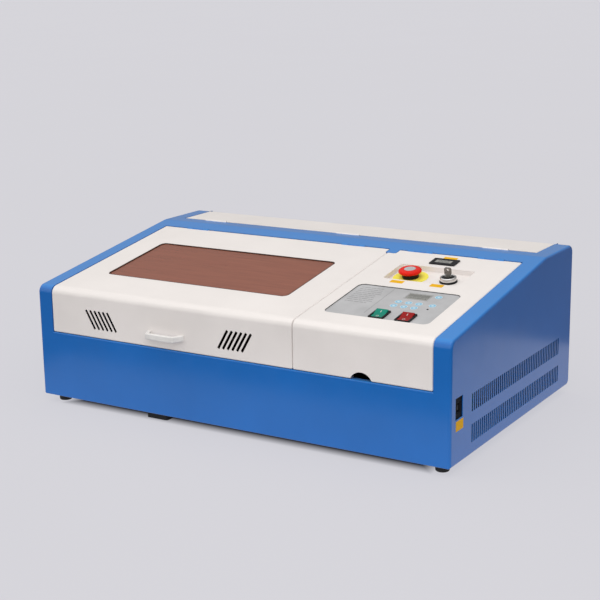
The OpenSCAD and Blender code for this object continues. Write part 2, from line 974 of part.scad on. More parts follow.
module mains_inlet() {
    wall = 2;
    back = body_d - inlet_depth;
    color("black")
        in_frame()
            translate([inlet_x, 0, inlet_z]) {
                difference() {
                    union() {
                        box(
                            [-inlet_flange_w / 2, body_d, -inlet_h / 2 - 3],
                            [inlet_flange_w / 2, body_d + inlet_flange_t, inlet_h / 2 + 3]
                        );
                        box([-inlet_w / 2, back, -inlet_h / 2], [inlet_w / 2, body_d + cut, inlet_h / 2]);
                    }
                    box(
                        [-inlet_w / 2 + wall, back + 4, -inlet_h / 2 + wall],
                        [inlet_w / 2 - wall, body_d + 2 * inlet_flange_t, inlet_h / 2 - wall]
                    );
                    for (i = [-1, 1])
                        translate([i * (inlet_flange_w / 2 - 5), 0, 0])
                            rod_y(body_d - cut, body_d + 2 * inlet_flange_t, screw_r + snug);
                }
                for (p = [[-7, -2], [0, 2], [7, -2]])
                    box([p[0] - 1, back + 3, p[1] - 2], [p[0] + 1, body_d - 8, p[1] + 2]);
            }
}

module hose_barbs() {
    nut_y = body_d + barb_nut_t;
    color("goldenrod")
        in_frame()
            for (x = barb_xs)
                translate([x, 0, barb_z])
                    difference() {
                        union() {
                            rod_y(body_d - 20, nut_y + barb_l, barb_r);
                            rod_y(body_d, nut_y, barb_nut_r);
                        }
                        rod_y(body_d - 21, nut_y + barb_l + cut, barb_bore_r);
                    }
}

module exhaust_hood() {
    w = hood_w / 2;
    h = hood_h / 2;
    back = body_d + hood_d;
    color(dark)
        in_frame()
            translate([hood_x, 0, hood_z]) {
                difference() {
                    union() {
                        box(
                            [-w - hood_flange, body_d, -h - hood_flange],
                            [w + hood_flange, body_d + hood_flange_t, h + hood_flange]
                        );
                        box([-w, body_d, -h], [w, back, h]);
                        rod_y(back - hood_t, back + spigot_l, spigot_r);
                    }
                    box([-w + hood_t, body_d - cut, -h + hood_t], [w - hood_t, back - hood_t, h - hood_t]);
                    rod_y(back - hood_t - cut, back + spigot_l + cut, spigot_r - spigot_wall);
                    for (p = hood_screws)
                        translate([p[0] - hood_x, 0, p[1] - hood_z])
                            rod_y(body_d - cut, body_d + hood_flange_t + cut, screw_r + snug);
                }
                difference() {
                    union() {
                        rod_y(body_d + 6, back - 6, fan_hub_r);
                        box([-w + hood_t / 2, back - 14, -4], [w - hood_t / 2, back - 9, 4]);
                    }
                    rod_y(body_d + 12, back, fan_shaft_r + run_play);
                }
            }
}

module exhaust_rotor() {
    back = body_d + hood_d;
    blade_l = fan_r - fan_hub_r + 3;
    color("black")
        in_frame()
            translate([hood_x, 0, hood_z]) {
                rod_y(body_d + 14, back + 4, fan_shaft_r);
                rod_y(back + 2, back + 22, fan_hub_r);
                for (i = [0:fan_blades - 1])
                    rotate([0, i * 360 / fan_blades, 0])
                        translate([fan_hub_r - 3, back + 12, 0])
                            rotate([35, 0, 0])
                                translate([0, -9, -1])
                                    cube([blade_l, 18, 2]);
            }
}

// Rails, belts and bed

module rail_frame() {
    rail_y0 = front_bracket_y - 2;
    rail_y1 = rear_bracket_y + bracket_t + 2;
    leg_ys = [front_bracket_y + 6, rear_bracket_y - 18];
    bearing_xs = [left_x + bearing_off, right_x - bearing_off - bearing_t];
    color(steel)
        in_frame() {
            difference() {
                union() {
                    for (x = [left_x, right_x]) {
                        box(
                            [x - rail_w / 2, rail_y0, rail_top - rail_h],
                            [x + rail_w / 2, rail_y1, rail_top]
                        );
                        for (y = leg_ys)
                            box([x - leg_w / 2, y, floor_z], [x + leg_w / 2, y + leg_w, rail_top - rail_h]);
                        for (y = [front_bracket_y, rear_bracket_y])
                            box([x - 12, y, rail_top - cut], [x + 12, y + bracket_t, rod_z + 12]);
                    }
                    for (y = leg_ys)
                        box([left_x, y, cross_z], [right_x, y + leg_w, cross_z + rail_h]);
                    for (x = bearing_xs, y = [idler_y, drive_y])
                        box([x, y - 8, rail_top - cut], [x + bearing_t, y + 8, drive_z + 8]);
                }
                for (y = [idler_y, drive_y])
                    translate([0, y, drive_z])
                        rod_x(left_x, right_x, shaft_r + run_play);
                for (x = [left_x, right_x])
                    translate([x, 0, rod_z])
                        rod_y(0, bay_y, y_rod_r + snug);
            }
            for (x = [left_x, right_x])
                translate([x, 0, rod_z])
                    rod_y(front_bracket_y, rear_bracket_y + bracket_t, y_rod_r);
        }
}

// Stepper motor with its axis along Z and its top face at the origin
module stepper(bore_r) {
    side = motor_w / 2;
    chamfer = 4;
    difference() {
        union() {
            translate([0, 0, -motor_l])
                linear_extrude(motor_l)
                    polygon([
                        for (q = [[1, 1], [-1, 1], [-1, -1], [1, -1]])
                            for (k = q[0] * q[1] > 0 ? [0, 1] : [1, 0])
                                [q[0] * (side - k * chamfer), q[1] * (side - (1 - k) * chamfer)]
                    ]);
            cylinder(h = 2, r = 11);
        }
        translate([0, 0, -motor_l - cut])
            cylinder(h = motor_l + 4, r = bore_r);
    }
}

module y_motor() {
    x = (left_x + right_x) / 2 + motor_l / 2;
    pedestal_z = cross_z + rail_h;
    color(dark)
        in_frame() {
            translate([x, drive_y, drive_z])
                rotate([0, 90, 0])
                    stepper(shaft_r + run_play);
            box([x - motor_l + 4, drive_y - 6, pedestal_z], [x - 4, drive_y + 6, drive_z - motor_w / 2]);
        }
}

// Belt loop in the XY plane from the origin to x = reach
module belt_loop(reach) {
    difference() {
        union() {
            for (x = [0, reach])
                translate([x, 0, 0])
                    cylinder(h = belt_w, r = belt_in_r + belt_t);
            box([0, -belt_in_r - belt_t, 0], [reach, belt_in_r + belt_t, belt_w]);
        }
        for (x = [0, reach])
            translate([x, 0, -cut])
                cylinder(h = belt_w + 2 * cut, r = belt_in_r);
        box([0, -belt_in_r, -cut], [reach, belt_in_r, belt_w + cut]);
    }
}

module y_belts() {
    color("black")
        in_frame()
            for (x = [left_x, right_x])
                translate([x - belt_w / 2, idler_y, drive_z])
                    rotate([90, 0, 90])
                        belt_loop(drive_y - idler_y);
}

// Toothed pulley about Z, with the belt's lower edge at the origin
module pulley() {
    translate([0, 0, -belt_side])
        cylinder(h = belt_w + 2 * belt_side, r = wheel_r);
    for (z = [-belt_side - flange_t, belt_w + belt_side])
        translate([0, 0, z])
            cylinder(h = flange_t, r = flange_r);
}

module cross_shaft(y) {
    translate([0, y, drive_z]) {
        rod_x(left_x - belt_w, right_x + belt_w, shaft_r);
        for (x = [left_x, right_x])
            translate([x - belt_w / 2, 0, 0])
                rotate([0, 90, 0])
                    pulley();
    }
}

module y_drive_shaft() {
    color(steel)
        in_frame()
            cross_shaft(drive_y);
}

module y_idler_shaft() {
    color(steel)
        in_frame()
            cross_shaft(idler_y);
}

module cutting_bed() {
    bar = 12;
    leg_r = 6;
    x0 = head_x - bar - 8;
    x1 = head_x + x_travel + 5 * bar;
    y0 = beam_y - y_travel - bar - 3;
    y1 = home_y + 2;
    color(dark)
        in_frame() {
            difference() {
                box([x0, y0, bed_top - bed_t], [x1, y1, bed_top]);
                box([x0 + bar, y0 + bar, bed_top - bed_t - cut], [x1 - bar, y1 - bar, bed_top + cut]);
            }
            for (x = [x0 + bar + blade_pitch:blade_pitch:x1 - bar - cut])
                box([x - 1, y0 + bar / 2, bed_top - bed_t + 3], [x + 1, y1 - bar / 2, bed_top]);
            for (x = [x0 + bar, x1 - bar], y = [y0 + bar, y1 - bar])
                translate([x, y, floor_z])
                    cylinder(h = bed_top - bed_t / 2 - floor_z, r = leg_r);
        }
}

// Gantry

module gantry_frame() {
    low = rod_z - block_h / 2;
    high = rod_z + block_h / 2;
    y0 = home_y - block_l / 2;
    y1 = home_y + block_l / 2;
    run_z = drive_z + belt_in_r;
    clip_w = belt_w / 2 + clear;
    color(steel)
        in_frame() {
            difference() {
                union() {
                    for (x = [left_x, right_x]) {
                        box([x - block_w / 2, y0, low], [x + block_w / 2, y1, high]);
                        box(
                            [x - clip_w - clip_wall, home_y - 10, run_z - clear - clip_wall],
                            [x + clip_w + clip_wall, home_y + 10, low + cut]
                        );
                    }
                    translate([left_x, home_y, high - cut])
                        cylinder(h = x_belt_z - belt_w / 2 - 2 - high + cut, r = post_r);
                    translate([left_x, home_y, high])
                        cylinder(h = x_belt_z + belt_w / 2 + 4 - high, r = idler_pin_r);
                    box([beam_x - 6, beam_y - 6, low], [left_x - block_w / 2 + cut, y0 + 12, low + 12]);
                    translate([beam_x, beam_y, beam_z])
                        rotate([0, 0, 180])
                            mirror_mount(beam_z - low);
                }
                for (x = [left_x, right_x]) {
                    translate([x, 0, rod_z])
                        rod_y(y0 - cut, y1 + cut, y_rod_r + run_play);
                    box(
                        [x - clip_w, home_y - 10 - cut, run_z - clear],
                        [x + clip_w, home_y + 10 + cut, run_z + belt_t + clear]
                    );
                }
                for (i = [-1, 1])
                    translate([0, home_y + i * x_rod_pitch / 2, rod_z])
                        rod_x(left_x + y_rod_r + 3 - snug, right_x - y_rod_r - 3 + snug, x_rod_r + snug);
            }
        }
}

module x_rods() {
    color("lightgray")
        in_frame()
            for (i = [-1, 1])
                translate([0, home_y + i * x_rod_pitch / 2, rod_z])
                    rod_x(left_x + y_rod_r + 3, right_x - y_rod_r - 3, x_rod_r);
}

module x_motor() {
    color(dark)
        in_frame()
            translate([x_motor_x, home_y, x_motor_top])
                stepper(motor_shaft_r + run_play);
}

module x_belt() {
    color("black")
        in_frame()
            translate([left_x, home_y, x_belt_z - belt_w / 2])
                belt_loop(x_motor_x - left_x);
}

module x_pulley() {
    low = x_motor_top - motor_l + 6;
    color(steel)
        in_frame() {
            translate([x_motor_x, home_y, x_belt_z - belt_w / 2])
                pulley();
            translate([x_motor_x, home_y, low])
                cylinder(h = x_belt_z + belt_w / 2 + 3 - low, r = motor_shaft_r);
        }
}

module x_idler() {
    color(steel)
        in_frame()
            translate([left_x, home_y, x_belt_z - belt_w / 2])
                difference() {
                    pulley();
                    translate([0, 0, -2 * belt_w])
                        cylinder(h = 4 * belt_w, r = idler_pin_r + run_play);
                }
}

module laser_head() {
    low = rod_z - 10;
    high = rod_z + 10;
    back_y = home_y + block_l / 2 + 1;
    plate_y = home_y - 22;
    run_y = home_y - belt_in_r;
    clip_z = x_belt_z - belt_w / 2 - clear;
    clip_top = x_belt_z + belt_w / 2 + clear;
    tube_top = beam_z - 16;
    color("slategray")
        in_frame() {
            difference() {
                union() {
                    box([head_x - head_w / 2, plate_y, low], [head_x + head_w / 2, back_y, high]);
                    box(
                        [head_x - upright_w / 2, plate_y - upright_t, low],
                        [head_x + upright_w / 2, plate_y + cut, clip_top + clip_wall]
                    );
                    box(
                        [head_x - 10, plate_y, clip_z - clip_wall],
                        [head_x + 10, run_y + clear + clip_wall, clip_top + clip_wall]
                    );
                    box(
                        [head_x - upright_w / 2, beam_y - upright_w / 2, tube_top],
                        [head_x + upright_w / 2, plate_y, beam_z + upright_w / 2]
                    );
                    translate([head_x, beam_y, nozzle_z + 10])
                        cylinder(h = tube_top - nozzle_z - 9, r = 11);
                    translate([head_x, beam_y, nozzle_z])
                        cylinder(h = 10, r1 = 4, r2 = 11);
                }
                for (i = [-1, 1])
                    translate([0, home_y + i * x_rod_pitch / 2, rod_z])
                        rod_x(head_x - head_w, head_x + head_w, x_rod_r + run_play);
                box(
                    [head_x - 10 - cut, run_y - belt_t - clear, clip_z],
                    [head_x + 10 + cut, run_y + clear, clip_top]
                );
                translate([0, beam_y, beam_z])
                    rod_x(head_x - upright_w / 2 - cut, head_x, barrel_hole);
                translate([head_x, beam_y, nozzle_z - cut])
                    cylinder(h = beam_z - nozzle_z + cut, r = 2);
            }
        }
}

// Hinge pieces on the case

module hinge_brackets() {
    color(steel)
        in_frame() {
            at_slope_hinges(concat(lid_hinges, panel_hinges)) {
                fixed_leaf();
                hinge_pin();
            }
            at_cover_hinges() {
                fixed_leaf();
                hinge_pin();
            }
        }
}

// Front lid

// One slanted slot through the lid's front, leaning right by lean degrees towards its top
module lid_slot(x, lean) {
    translate([x, sheet_t / 2, cover_low + slot_up + slot_h / 2])
        rotate([0, lean, 0])
            cube([slot_w, 3 * sheet_t, slot_h / cos(slot_lean) - slot_w], center = true);
}

module lid_panel() {
    color(white)
        in_frame()
            difference() {
                folded_cover(lid_x0, lid_x1);
                on_slope(win_x, win_s, -2 * sheet_t)
                    linear_extrude(4 * sheet_t)
                        polygon(round_rect(win_w, win_l, win_r));
                for (side = [-1, 1], i = [0:slots - 1])
                    let (from_mid = (i - (slots - 1) / 2) * slot_pitch)
                        lid_slot(lid_mid + side * slot_out + from_mid, side * slot_lean);
                at_slope_hinges(lid_hinges)
                    knuckle_cut();
                tab_cut();
            }
}

module lid_window() {
    color("sienna", 0.6)
        in_frame()
            on_slope(win_x, win_s, -sheet_t - pane_t)
                linear_extrude(pane_t)
                    polygon(round_rect(win_w + 2 * pane_lap, win_l + 2 * pane_lap, win_r + pane_lap / 2));
}

module lid_handle() {
    half = handle_w / 2;
    bar = handle_bar_w / 2;
    leg = handle_t * norm([half - bar, handle_out]) / handle_out;
    inner = half - leg - (half - bar) * (handle_out - handle_t) / handle_out;
    color(white)
        in_frame()
            translate([lid_mid, 0, cover_low + handle_up - handle_h / 2])
                linear_extrude(handle_h)
                    polygon([
                        [-half, 0], [-bar, -handle_out], [bar, -handle_out], [half, 0],
                        [half - leg, 0], [inner, handle_t - handle_out],
                        [-inner, handle_t - handle_out], [leg - half, 0]
                    ]);
}

module lid_hinge_leaves() {
    color(steel)
        in_frame()
            at_slope_hinges(lid_hinges)
                moving_leaf();
}

// Control panel cover

module panel_cover() {
    color(white)
        in_frame()
            difference() {
                union() {
                    folded_cover(panel_x0, panel_x1);
                    on_slope(control_x, pocket_s, -pocket_d - sheet_t)
                        linear_extrude(pocket_d + sheet_t)
                            polygon(round_rect(
                                pocket_w + 2 * sheet_t, pocket_l + 2 * sheet_t, pocket_r + sheet_t
                            ));
                }
                on_slope(control_x, pocket_s, -pocket_d)
                    linear_extrude(pocket_d + cut)
                        polygon(round_rect(pocket_w, pocket_l, pocket_r));
                on_slope(control_x, keypad_s, -2 * sheet_t)
                    linear_extrude(4 * sheet_t)
                        polygon(round_rect(keypad_w, keypad_l, keypad_r));
                on_slope(control_x, meter_s, -2 * sheet_t)
                    linear_extrude(4 * sheet_t)
                        square([meter_w - 4 + 2 * snug, meter_l - 4 + 2 * snug], center = true);
                on_slope(stop_x, pocket_s, -pocket_d - 2 * sheet_t)
                    cylinder(h = 4 * sheet_t, r = barrel_r + snug);
                on_slope(lock_x, pocket_s, -pocket_d - 2 * sheet_t)
                    cylinder(h = 4 * sheet_t, r = lock_barrel_r + snug);
                translate([notch_x, -lip_h, cover_low + notch_h - notch_r])
                    rod_y(0, 3 * lip_h, notch_r);
                at_slope_hinges(panel_hinges)
                    knuckle_cut();
                tab_cut();
            }
}

module panel_hinge_leaves() {
    color(steel)
        in_frame()
            at_slope_hinges(panel_hinges)
                moving_leaf();
}

module keypad_plate() {
    top = -sheet_t;
    color("darkgray")
        in_frame()
            difference() {
                on_slope(control_x, keypad_s, top - keypad_t)
                    linear_extrude(keypad_t)
                        polygon(round_rect(keypad_w + 2 * keypad_lap, keypad_l + 2 * keypad_lap, keypad_r));
                for (k = keys)
                    on_slope(k[1], k[2], top - key_sink - key_travel - 0.1)
                        cylinder(h = keypad_t, r = key_r + key_play);
                on_slope(display_x, display_s, top - 0.5)
                    linear_extrude(keypad_t)
                        square([display_w, display_l], center = true);
                for (i = [0, 1])
                    on_slope(rocker_x + i * rocker_pitch, rocker_s, top - 2 * keypad_t)
                        linear_extrude(3 * keypad_t)
                            square([rocker_w - 2 + 2 * snug, rocker_l - 2 + 2 * snug], center = true);
            }
}

module keypad_key(i) {
    color("skyblue")
        in_frame()
            on_slope(keys[i][1], keys[i][2], -sheet_t - key_sink)
                cylinder(h = key_sink + key_proud, r = key_r);
}

module power_key() {
    keypad_key(0);
}

module key_up_left() {
    keypad_key(1);
}

module key_up_middle() {
    keypad_key(2);
}

module key_up_right() {
    keypad_key(3);
}

module key_low_left() {
    keypad_key(4);
}

module key_low_middle() {
    keypad_key(5);
}

module key_low_right() {
    keypad_key(6);
}

module test_key() {
    keypad_key(7);
}

module panel_meter() {
    color("black")
        in_frame()
            on_slope(control_x, meter_s, 0) {
                linear_extrude(2)
                    polygon(round_rect(meter_w, meter_l, 2));
                translate([0, 0, -18])
                    linear_extrude(18 + cut)
                        square([meter_w - 4, meter_l - 4], center = true);
            }
}

module at_pocket(x) {
    in_frame()
        on_slope(x, pocket_s, -pocket_d)
            children();
}

module stop_disc() {
    color("gold")
        at_pocket(stop_x)
            difference() {
                cylinder(h = disc_t, r = disc_r);
                translate([0, 0, -cut])
                    cylinder(h = disc_t + 2 * cut, r = barrel_r + snug);
            }
}

module stop_collar() {
    color("black")
        at_pocket(stop_x)
            difference() {
                union() {
                    translate([0, 0, disc_t])
                        cylinder(h = collar_top - disc_t, r = collar_r);
                    translate([0, 0, barrel_low])
                        cylinder(h = disc_t - barrel_low + cut, r = barrel_r);
                    translate([-13, -13, block_low])
                        cube([26, 26, barrel_low - block_low]);
                }
                translate([0, 0, stem_low - stop_travel - 1])
                    cylinder(h = collar_top - stem_low + stop_travel + 2, r = stem_r + run_play);
            }
}

module stop_stem() {
    color(steel)
        at_pocket(stop_x)
            translate([0, 0, stem_low])
                cylinder(h = stem_top - stem_low, r = stem_r);
}

module stop_cap() {
    bore = stem_r + run_play;
    color("red")
        at_pocket(stop_x)
            rotate_extrude()
                polygon(concat(
                    [[0, stem_top + 0.2], [bore, stem_top + 0.2], [bore, cap_recess]],
                    [[collar_r + 0.6, cap_recess], [collar_r + 0.6, cap_low], [cap_r - 1, cap_low]],
                    rounded([[cap_r, cap_low + 1], [cap_r, cap_top], [0, cap_top]], [0, 4, 0])
                ));
}

module key_lock() {
    color("black")
        at_pocket(lock_x)
            difference() {
                union() {
                    cylinder(h = lock_ring_t, r = lock_r);
                    cylinder(h = lock_top, r = lock_r - 1.3);
                    cylinder(h = lock_top + 1, r = lock_r - 1.8);
                    translate([0, 0, lock_barrel_low])
                        cylinder(h = cut - lock_barrel_low, r = lock_barrel_r);
                }
                translate([0, 0, plug_low - 0.3])
                    cylinder(h = lock_top - plug_low + 2, r = plug_r + run_play);
            }
}

module lock_key() {
    top = lock_top + 1.3;
    color(steel)
        at_pocket(lock_x) {
            translate([0, 0, plug_low])
                cylinder(h = top - plug_low, r = plug_r);
            box([-plug_r / 2, -bow_t / 2, top - cut], [plug_r / 2, bow_t / 2, top + bow_h / 2]);
            difference() {
                translate([0, bow_t / 2, top + bow_h / 2 + cut])
                    rotate([90, 0, 0])
                        linear_extrude(bow_t)
                            polygon(round_rect(bow_w, bow_h - 2 * cut, 3));
                translate([0, 0, top + bow_h - 4])
                    rod_y(-bow_t, bow_t, 2);
            }
        }
}

module at_rocker(i) {
    in_frame()
        on_slope(rocker_x + i * rocker_pitch, rocker_s, 0)
            children();
}

module rocker_frames() {
    hole_w = paddle_w + 2 * clear;
    hole_l = paddle_l + 2.4;
    color("black")
        for (i = [0, 1])
            at_rocker(i)
                difference() {
                    union() {
                        translate([0, 0, -sheet_t])
                            linear_extrude(rocker_frame_t)
                                polygon(round_rect(rocker_w, rocker_l, 2));
                        translate([0, 0, -sheet_t - rocker_depth])
                            linear_extrude(rocker_depth + cut)
                                square([rocker_w - 2, rocker_l - 2], center = true);
                    }
                    translate([0, 0, -sheet_t - rocker_depth + rocker_wall])
                        linear_extrude(2 * rocker_depth)
                            square([hole_w, hole_l], center = true);
                    translate([0, 0, pivot_n])
                        rod_x(-rocker_w / 2 + 1.4, rocker_w / 2 - 1.4, trunnion_r + run_play);
                }
}

// Paddle tilted with its rear end up
module paddle(i) {
    at_rocker(i)
        translate([0, 0, pivot_n])
            rotate([rocker_tilt, 0, 0]) {
                along_x(-paddle_w / 2, paddle_w / 2)
                    polygon([
                        [-paddle_l / 2, paddle_low], [-paddle_l / 2, paddle_high], [0, paddle_mid],
                        [paddle_l / 2, paddle_high], [paddle_l / 2, paddle_low]
                    ]);
                rod_x(-rocker_w / 2 + 1.7, rocker_w / 2 - 1.7, trunnion_r);
            }
}

module green_rocker() {
    color("seagreen")
        paddle(0);
}

module red_rocker() {
    color("firebrick")
        paddle(1);
}

// Tube cover

module cover_part(x0, x1, depth) {
    difference() {
        skin(x0, x1, depth);
        box([-side_x, -cut, 0], [side_x, strip_back + hinge_gap, top_z + cut]);
        box([-side_x, strip_back, 0], [side_x, body_d + cut, flap_low + seam_gap]);
    }
}

module tube_cover() {
    x = rim_x - seam_gap;
    color(white)
        in_frame()
            difference() {
                union() {
                    cover_part(-x, x, sheet_t);
                    cover_part(-x, -x + sheet_t, lip_h);
                    cover_part(x - sheet_t, x, lip_h);
                }
                at_cover_hinges()
                    knuckle_cut();
            }
}

module cover_hinge_leaves() {
    color(steel)
        in_frame()
            at_cover_hinges()
                moving_leaf();
}

base_tray();
left_side_panel();
right_side_panel();
edge_rims();
cross_strip();
rear_panel();
tube_bay_tray();
electronics_wall();
feet();
case_screws();
laser_tube();
tube_saddles();
first_mirror();
power_supply();
control_board();
mains_inlet();
hose_barbs();
exhaust_hood();
exhaust_rotor();
rail_frame();
y_motor();
y_belts();
y_drive_shaft();
y_idler_shaft();
cutting_bed();
gantry_frame();
x_rods();
x_motor();
x_belt();
x_pulley();
x_idler();
laser_head();
hinge_brackets();
lid_panel();
lid_window();
lid_handle();
lid_hinge_leaves();
panel_cover();
panel_hinge_leaves();
keypad_plate();
panel_meter();
stop_collar();
stop_disc();
stop_stem();
stop_cap();
key_lock();
lock_key();
rocker_frames();
green_rocker();
red_rocker();
power_key();
key_up_left();
key_up_middle();
key_up_right();
key_low_left();
key_low_middle();
key_low_right();
test_key();
tube_cover();
cover_hinge_leaves();
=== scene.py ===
"""Looks of the desktop laser cutter: painted sheet-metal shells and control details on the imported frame."""

import json
import math
from contextlib import contextmanager

import bmesh
import bpy
from mathutils import Matrix, Vector


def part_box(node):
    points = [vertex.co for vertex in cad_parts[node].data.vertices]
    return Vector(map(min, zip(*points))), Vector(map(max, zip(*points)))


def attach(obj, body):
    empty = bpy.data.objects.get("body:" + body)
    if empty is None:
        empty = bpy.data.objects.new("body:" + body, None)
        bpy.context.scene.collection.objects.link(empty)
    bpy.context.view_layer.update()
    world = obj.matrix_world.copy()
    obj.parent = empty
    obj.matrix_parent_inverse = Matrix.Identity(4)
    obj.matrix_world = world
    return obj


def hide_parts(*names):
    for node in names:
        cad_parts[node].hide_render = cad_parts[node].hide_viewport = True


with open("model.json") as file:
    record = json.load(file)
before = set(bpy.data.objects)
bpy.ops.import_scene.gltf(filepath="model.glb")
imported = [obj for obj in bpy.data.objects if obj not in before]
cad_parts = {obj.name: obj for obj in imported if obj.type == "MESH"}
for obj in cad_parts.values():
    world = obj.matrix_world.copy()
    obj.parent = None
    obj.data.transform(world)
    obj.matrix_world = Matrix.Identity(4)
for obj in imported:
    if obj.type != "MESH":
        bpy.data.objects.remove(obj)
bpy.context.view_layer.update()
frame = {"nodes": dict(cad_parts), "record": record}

# Shapes are drawn in millimetres: x to the right, y counted from the front face, z up from the floor.
# On the slope, s counts up from its front corner and n out of its face.
MM = 0.001
QUARTER = math.pi / 2
FRONT_Y = round(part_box("right_side_panel")[0].y / MM, 3)


def cad_box(node):
    """Lowest and highest corner of a CAD node, in millimetres with y counted from the front face."""
    low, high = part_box(node)
    return [Vector((p.x / MM, p.y / MM - FRONT_Y, p.z / MM)) for p in (low, high)]


side_low, side_high = cad_box("right_side_panel")
lid_low, lid_high = cad_box("lid_panel")
panel_low, panel_high = cad_box("panel_cover")
cover_low, cover_high = cad_box("tube_cover")

# Case
SHEET = side_high.x - side_low.x
PATCH = 0.12
SIDE_X = side_high.x - PATCH  # leaves room for a patch inside the CAD's box
BASE_Z = side_low.z
TOP_Z = side_high.z
DEPTH = side_high.y
FRONT_TOP = cad_box("base_tray")[1].z
BREAK_Z = 212.4
SLOPE_RUN = 374.0
SLOPE = math.atan((TOP_Z - BREAK_Z) / SLOPE_RUN)
BEND_R = 14.0
CORNER_RADII = [2.0, BEND_R, 60.0, 14.0, 10.0]
SIDE_R = 4.5
ARC_STEPS = 14
EDGE_STEPS = 6
FLANGE = 11.0
FRONT_ROLL = 2.2
THIN_R = 0.4
SHARP = 38.0
CLEAR = 20.0
SLOPE_CUT = (-30.0, 60.0)
VENT_ROWS, VENT_COUNT = (34.5, 84.0), 48
VENT_Y, VENT_PITCH = 76.0, 7.7
VENT_W, VENT_H = 4.6, 29.0
SKIN, SKIN_MARGIN = 0.7, 3.0
SOCKET_Y, SOCKET_Z = 29.5, 103.75
SOCKET_HALF = (13.0, 17.25)
REAR_FRAME = 14.0
REAR_SILL = 16.0
REAR_FIT, REAR_FLANGE = 0.1, 3.1

# Openings of the covers
GAP = 1.0
RIM_X = cover_high.x + GAP
SEAM, STRIP_W = 3.0, 60.0
STRIP_BACK = cover_low.y - SEAM
STRIP_S = (STRIP_BACK - STRIP_W) / math.cos(SLOPE)
COVER_S = STRIP_S - SEAM
HINGE_S = STRIP_S - SEAM / 2
FLAP_Z = cad_box("rear_panel")[1].z
LIP = 12.0
COVER_R = 2.6
TAB = (121.0, 141.0, STRIP_S - 19.0)
TAB_R = 3.0
NOTCH_X, NOTCH_R, NOTCH_H = 3.5, 21.0, 12.5
SLOTS, SLOT_PITCH, SLOT_OUT = 6, 9.2, 138.0
SLOT_W, SLOT_L, SLOT_LEAN = 4.6, 37.5, math.radians(30)
SLOT_MID = lid_low.z + 31.8
LEAF_HALF = 24.0
KNUCKLE_HALF, KNUCKLE_ROOM = 24.4, 2.8
SLOPE_KNUCKLE, PIN_SINK = (-13.0, 4.5), 1.0
COVER_KNUCKLE = (-14.0, 4.0)
COVER_PIN_Y = STRIP_BACK + SEAM / 2

# Controls and window on the slope. KEYPAD, POCKET and WINDOW give width, length, corner radius, middle s and
# depth. METER leaves out the radius, and DISPLAY has x in its place.
CONTROL_X = (panel_low.x + panel_high.x) / 2 - 3.0
KEYPAD_LOW = 49.5
KEYPAD = (185.0, 128.5, 11.0, KEYPAD_LOW + 128.5 / 2)
POCKET = (137.5, 70.0, 5.0, 211.5 + 35.0, 9.0)
METER = (47.5, 27.5, STRIP_S - 38.0)
STOP_X, STOP_HOLE = CONTROL_X - 35.0, 11.05
LOCK_X, LOCK_HOLE = CONTROL_X + 35.0, 9.55
WINDOW = (376.0, 171.5, 11.0, 86.0 + 171.5 / 2)
WINDOW_X = lid_low.x + 55.5 + WINDOW[0] / 2
# Width and play of the dark strip round the window, which is painted shade along the lid's cut edge.
SHADE_STRIP_W, SHADE_STRIP_PLAY = 2.4, 0.05
ROCKER_S = KEYPAD_LOW + 1.2 + 16.0
ROCKERS = (("green_rocker", "rocker_green", CONTROL_X + 1.0), ("red_rocker", "rocker_red", CONTROL_X + 47.0))
ROCKER_PIVOT = -2.5
ROCKER_TILT = math.radians(10)
ROCKER_LEAN = math.atan2(2.0, 12.5)
ROCKER_MARK = (6.6, 3.66)
DISPLAY = (40.0, 23.0, CONTROL_X + 26.0, KEYPAD[3] + 40.0)
INK, MARK_T, DIGIT_T = 0.05, 0.08, 0.06

# Stage
CAMERA_AT = Vector((1.22048, -2.04626, 0.75156))
CAMERA_TURN = [math.radians(a) for a in (31.4095, 13.6742, -0.845)]
CAMERA_LENS = 82.27
SKY_FROM, SKY_STRENGTH = Vector((-0.11, -0.48, 0.865)), 1.10
SKY_STEPS = ((0.0, 0.26), (0.35, 0.62), (0.8, 1.0))
BOX_AT, BOX_SIZE, BOX_POWER = Vector((1.0, -1.6, 1.3)), 0.9, 7.0
BOX_TURN = [math.radians(a) for a in (32.0, 33.0, 0.0)]
SUN_POWER, SUN_WIDTH = 0.3, math.radians(40.0)
SUN_TURN = [math.radians(a) for a in (12.0, 0.0, -10.0)]
FLOOR_HALF, FLOOR_GLOW = 90.0, 0.575
# Painted shadow under the case: the floor's glow fades out between these depths inside the case's outline, in
# metres.
PAINTED_SHADOW_FADE = (0.004, 0.034)
TABLE_LOW, TABLE_HIGH = (-0.56, -0.25), (0.70, 0.79)
TABLE_GROW, TABLE_Z = 80.0, 0.002


# Points and outlines


def place(p):
    """Millimetres from the front face to metres in the frame."""
    return Vector((p[0], p[1] + FRONT_Y, p[2])) * MM


def slope_point(s, n):
    """(y, z) of a point at s up the slope and n above its outer face."""
    return (
        s * math.cos(SLOPE) - n * math.sin(SLOPE),
        BREAK_Z + s * math.sin(SLOPE) + n * math.cos(SLOPE),
    )


def local(point, *turns):
    """Matrix from a drawing in millimetres to the frame: put at a point, turned by each (angle, axis)."""
    matrix = Matrix.Translation(place(point))
    for angle, axis in turns:
        matrix = matrix @ Matrix.Rotation(angle, 4, axis)
    return matrix @ Matrix.Scale(MM, 4)


def on_slope(x, s, n=0.0):
    """Matrix of a drawing on the slope: x across, y up the slope, z out."""
    return local((x, *slope_point(s, n)), (SLOPE, "X"))


def round_corner(a, p, b, r, steps):
    u = (a - p).normalized()
    v = (b - p).normalized()
    half = math.acos(max(-1.0, min(1.0, u.dot(v)))) / 2
    mid = p + (u + v).normalized() * (r / math.sin(half))
    start = p + u * (r / math.tan(half)) - mid
    end = p + v * (r / math.tan(half)) - mid
    a0 = math.atan2(start.y, start.x)
    turn = (math.atan2(end.y, end.x) - a0 + math.pi) % (2 * math.pi) - math.pi
    return [
        mid + Vector((math.cos(a0 + turn * i / steps), math.sin(a0 + turn * i / steps))) * r
        for i in range(steps + 1)
    ]


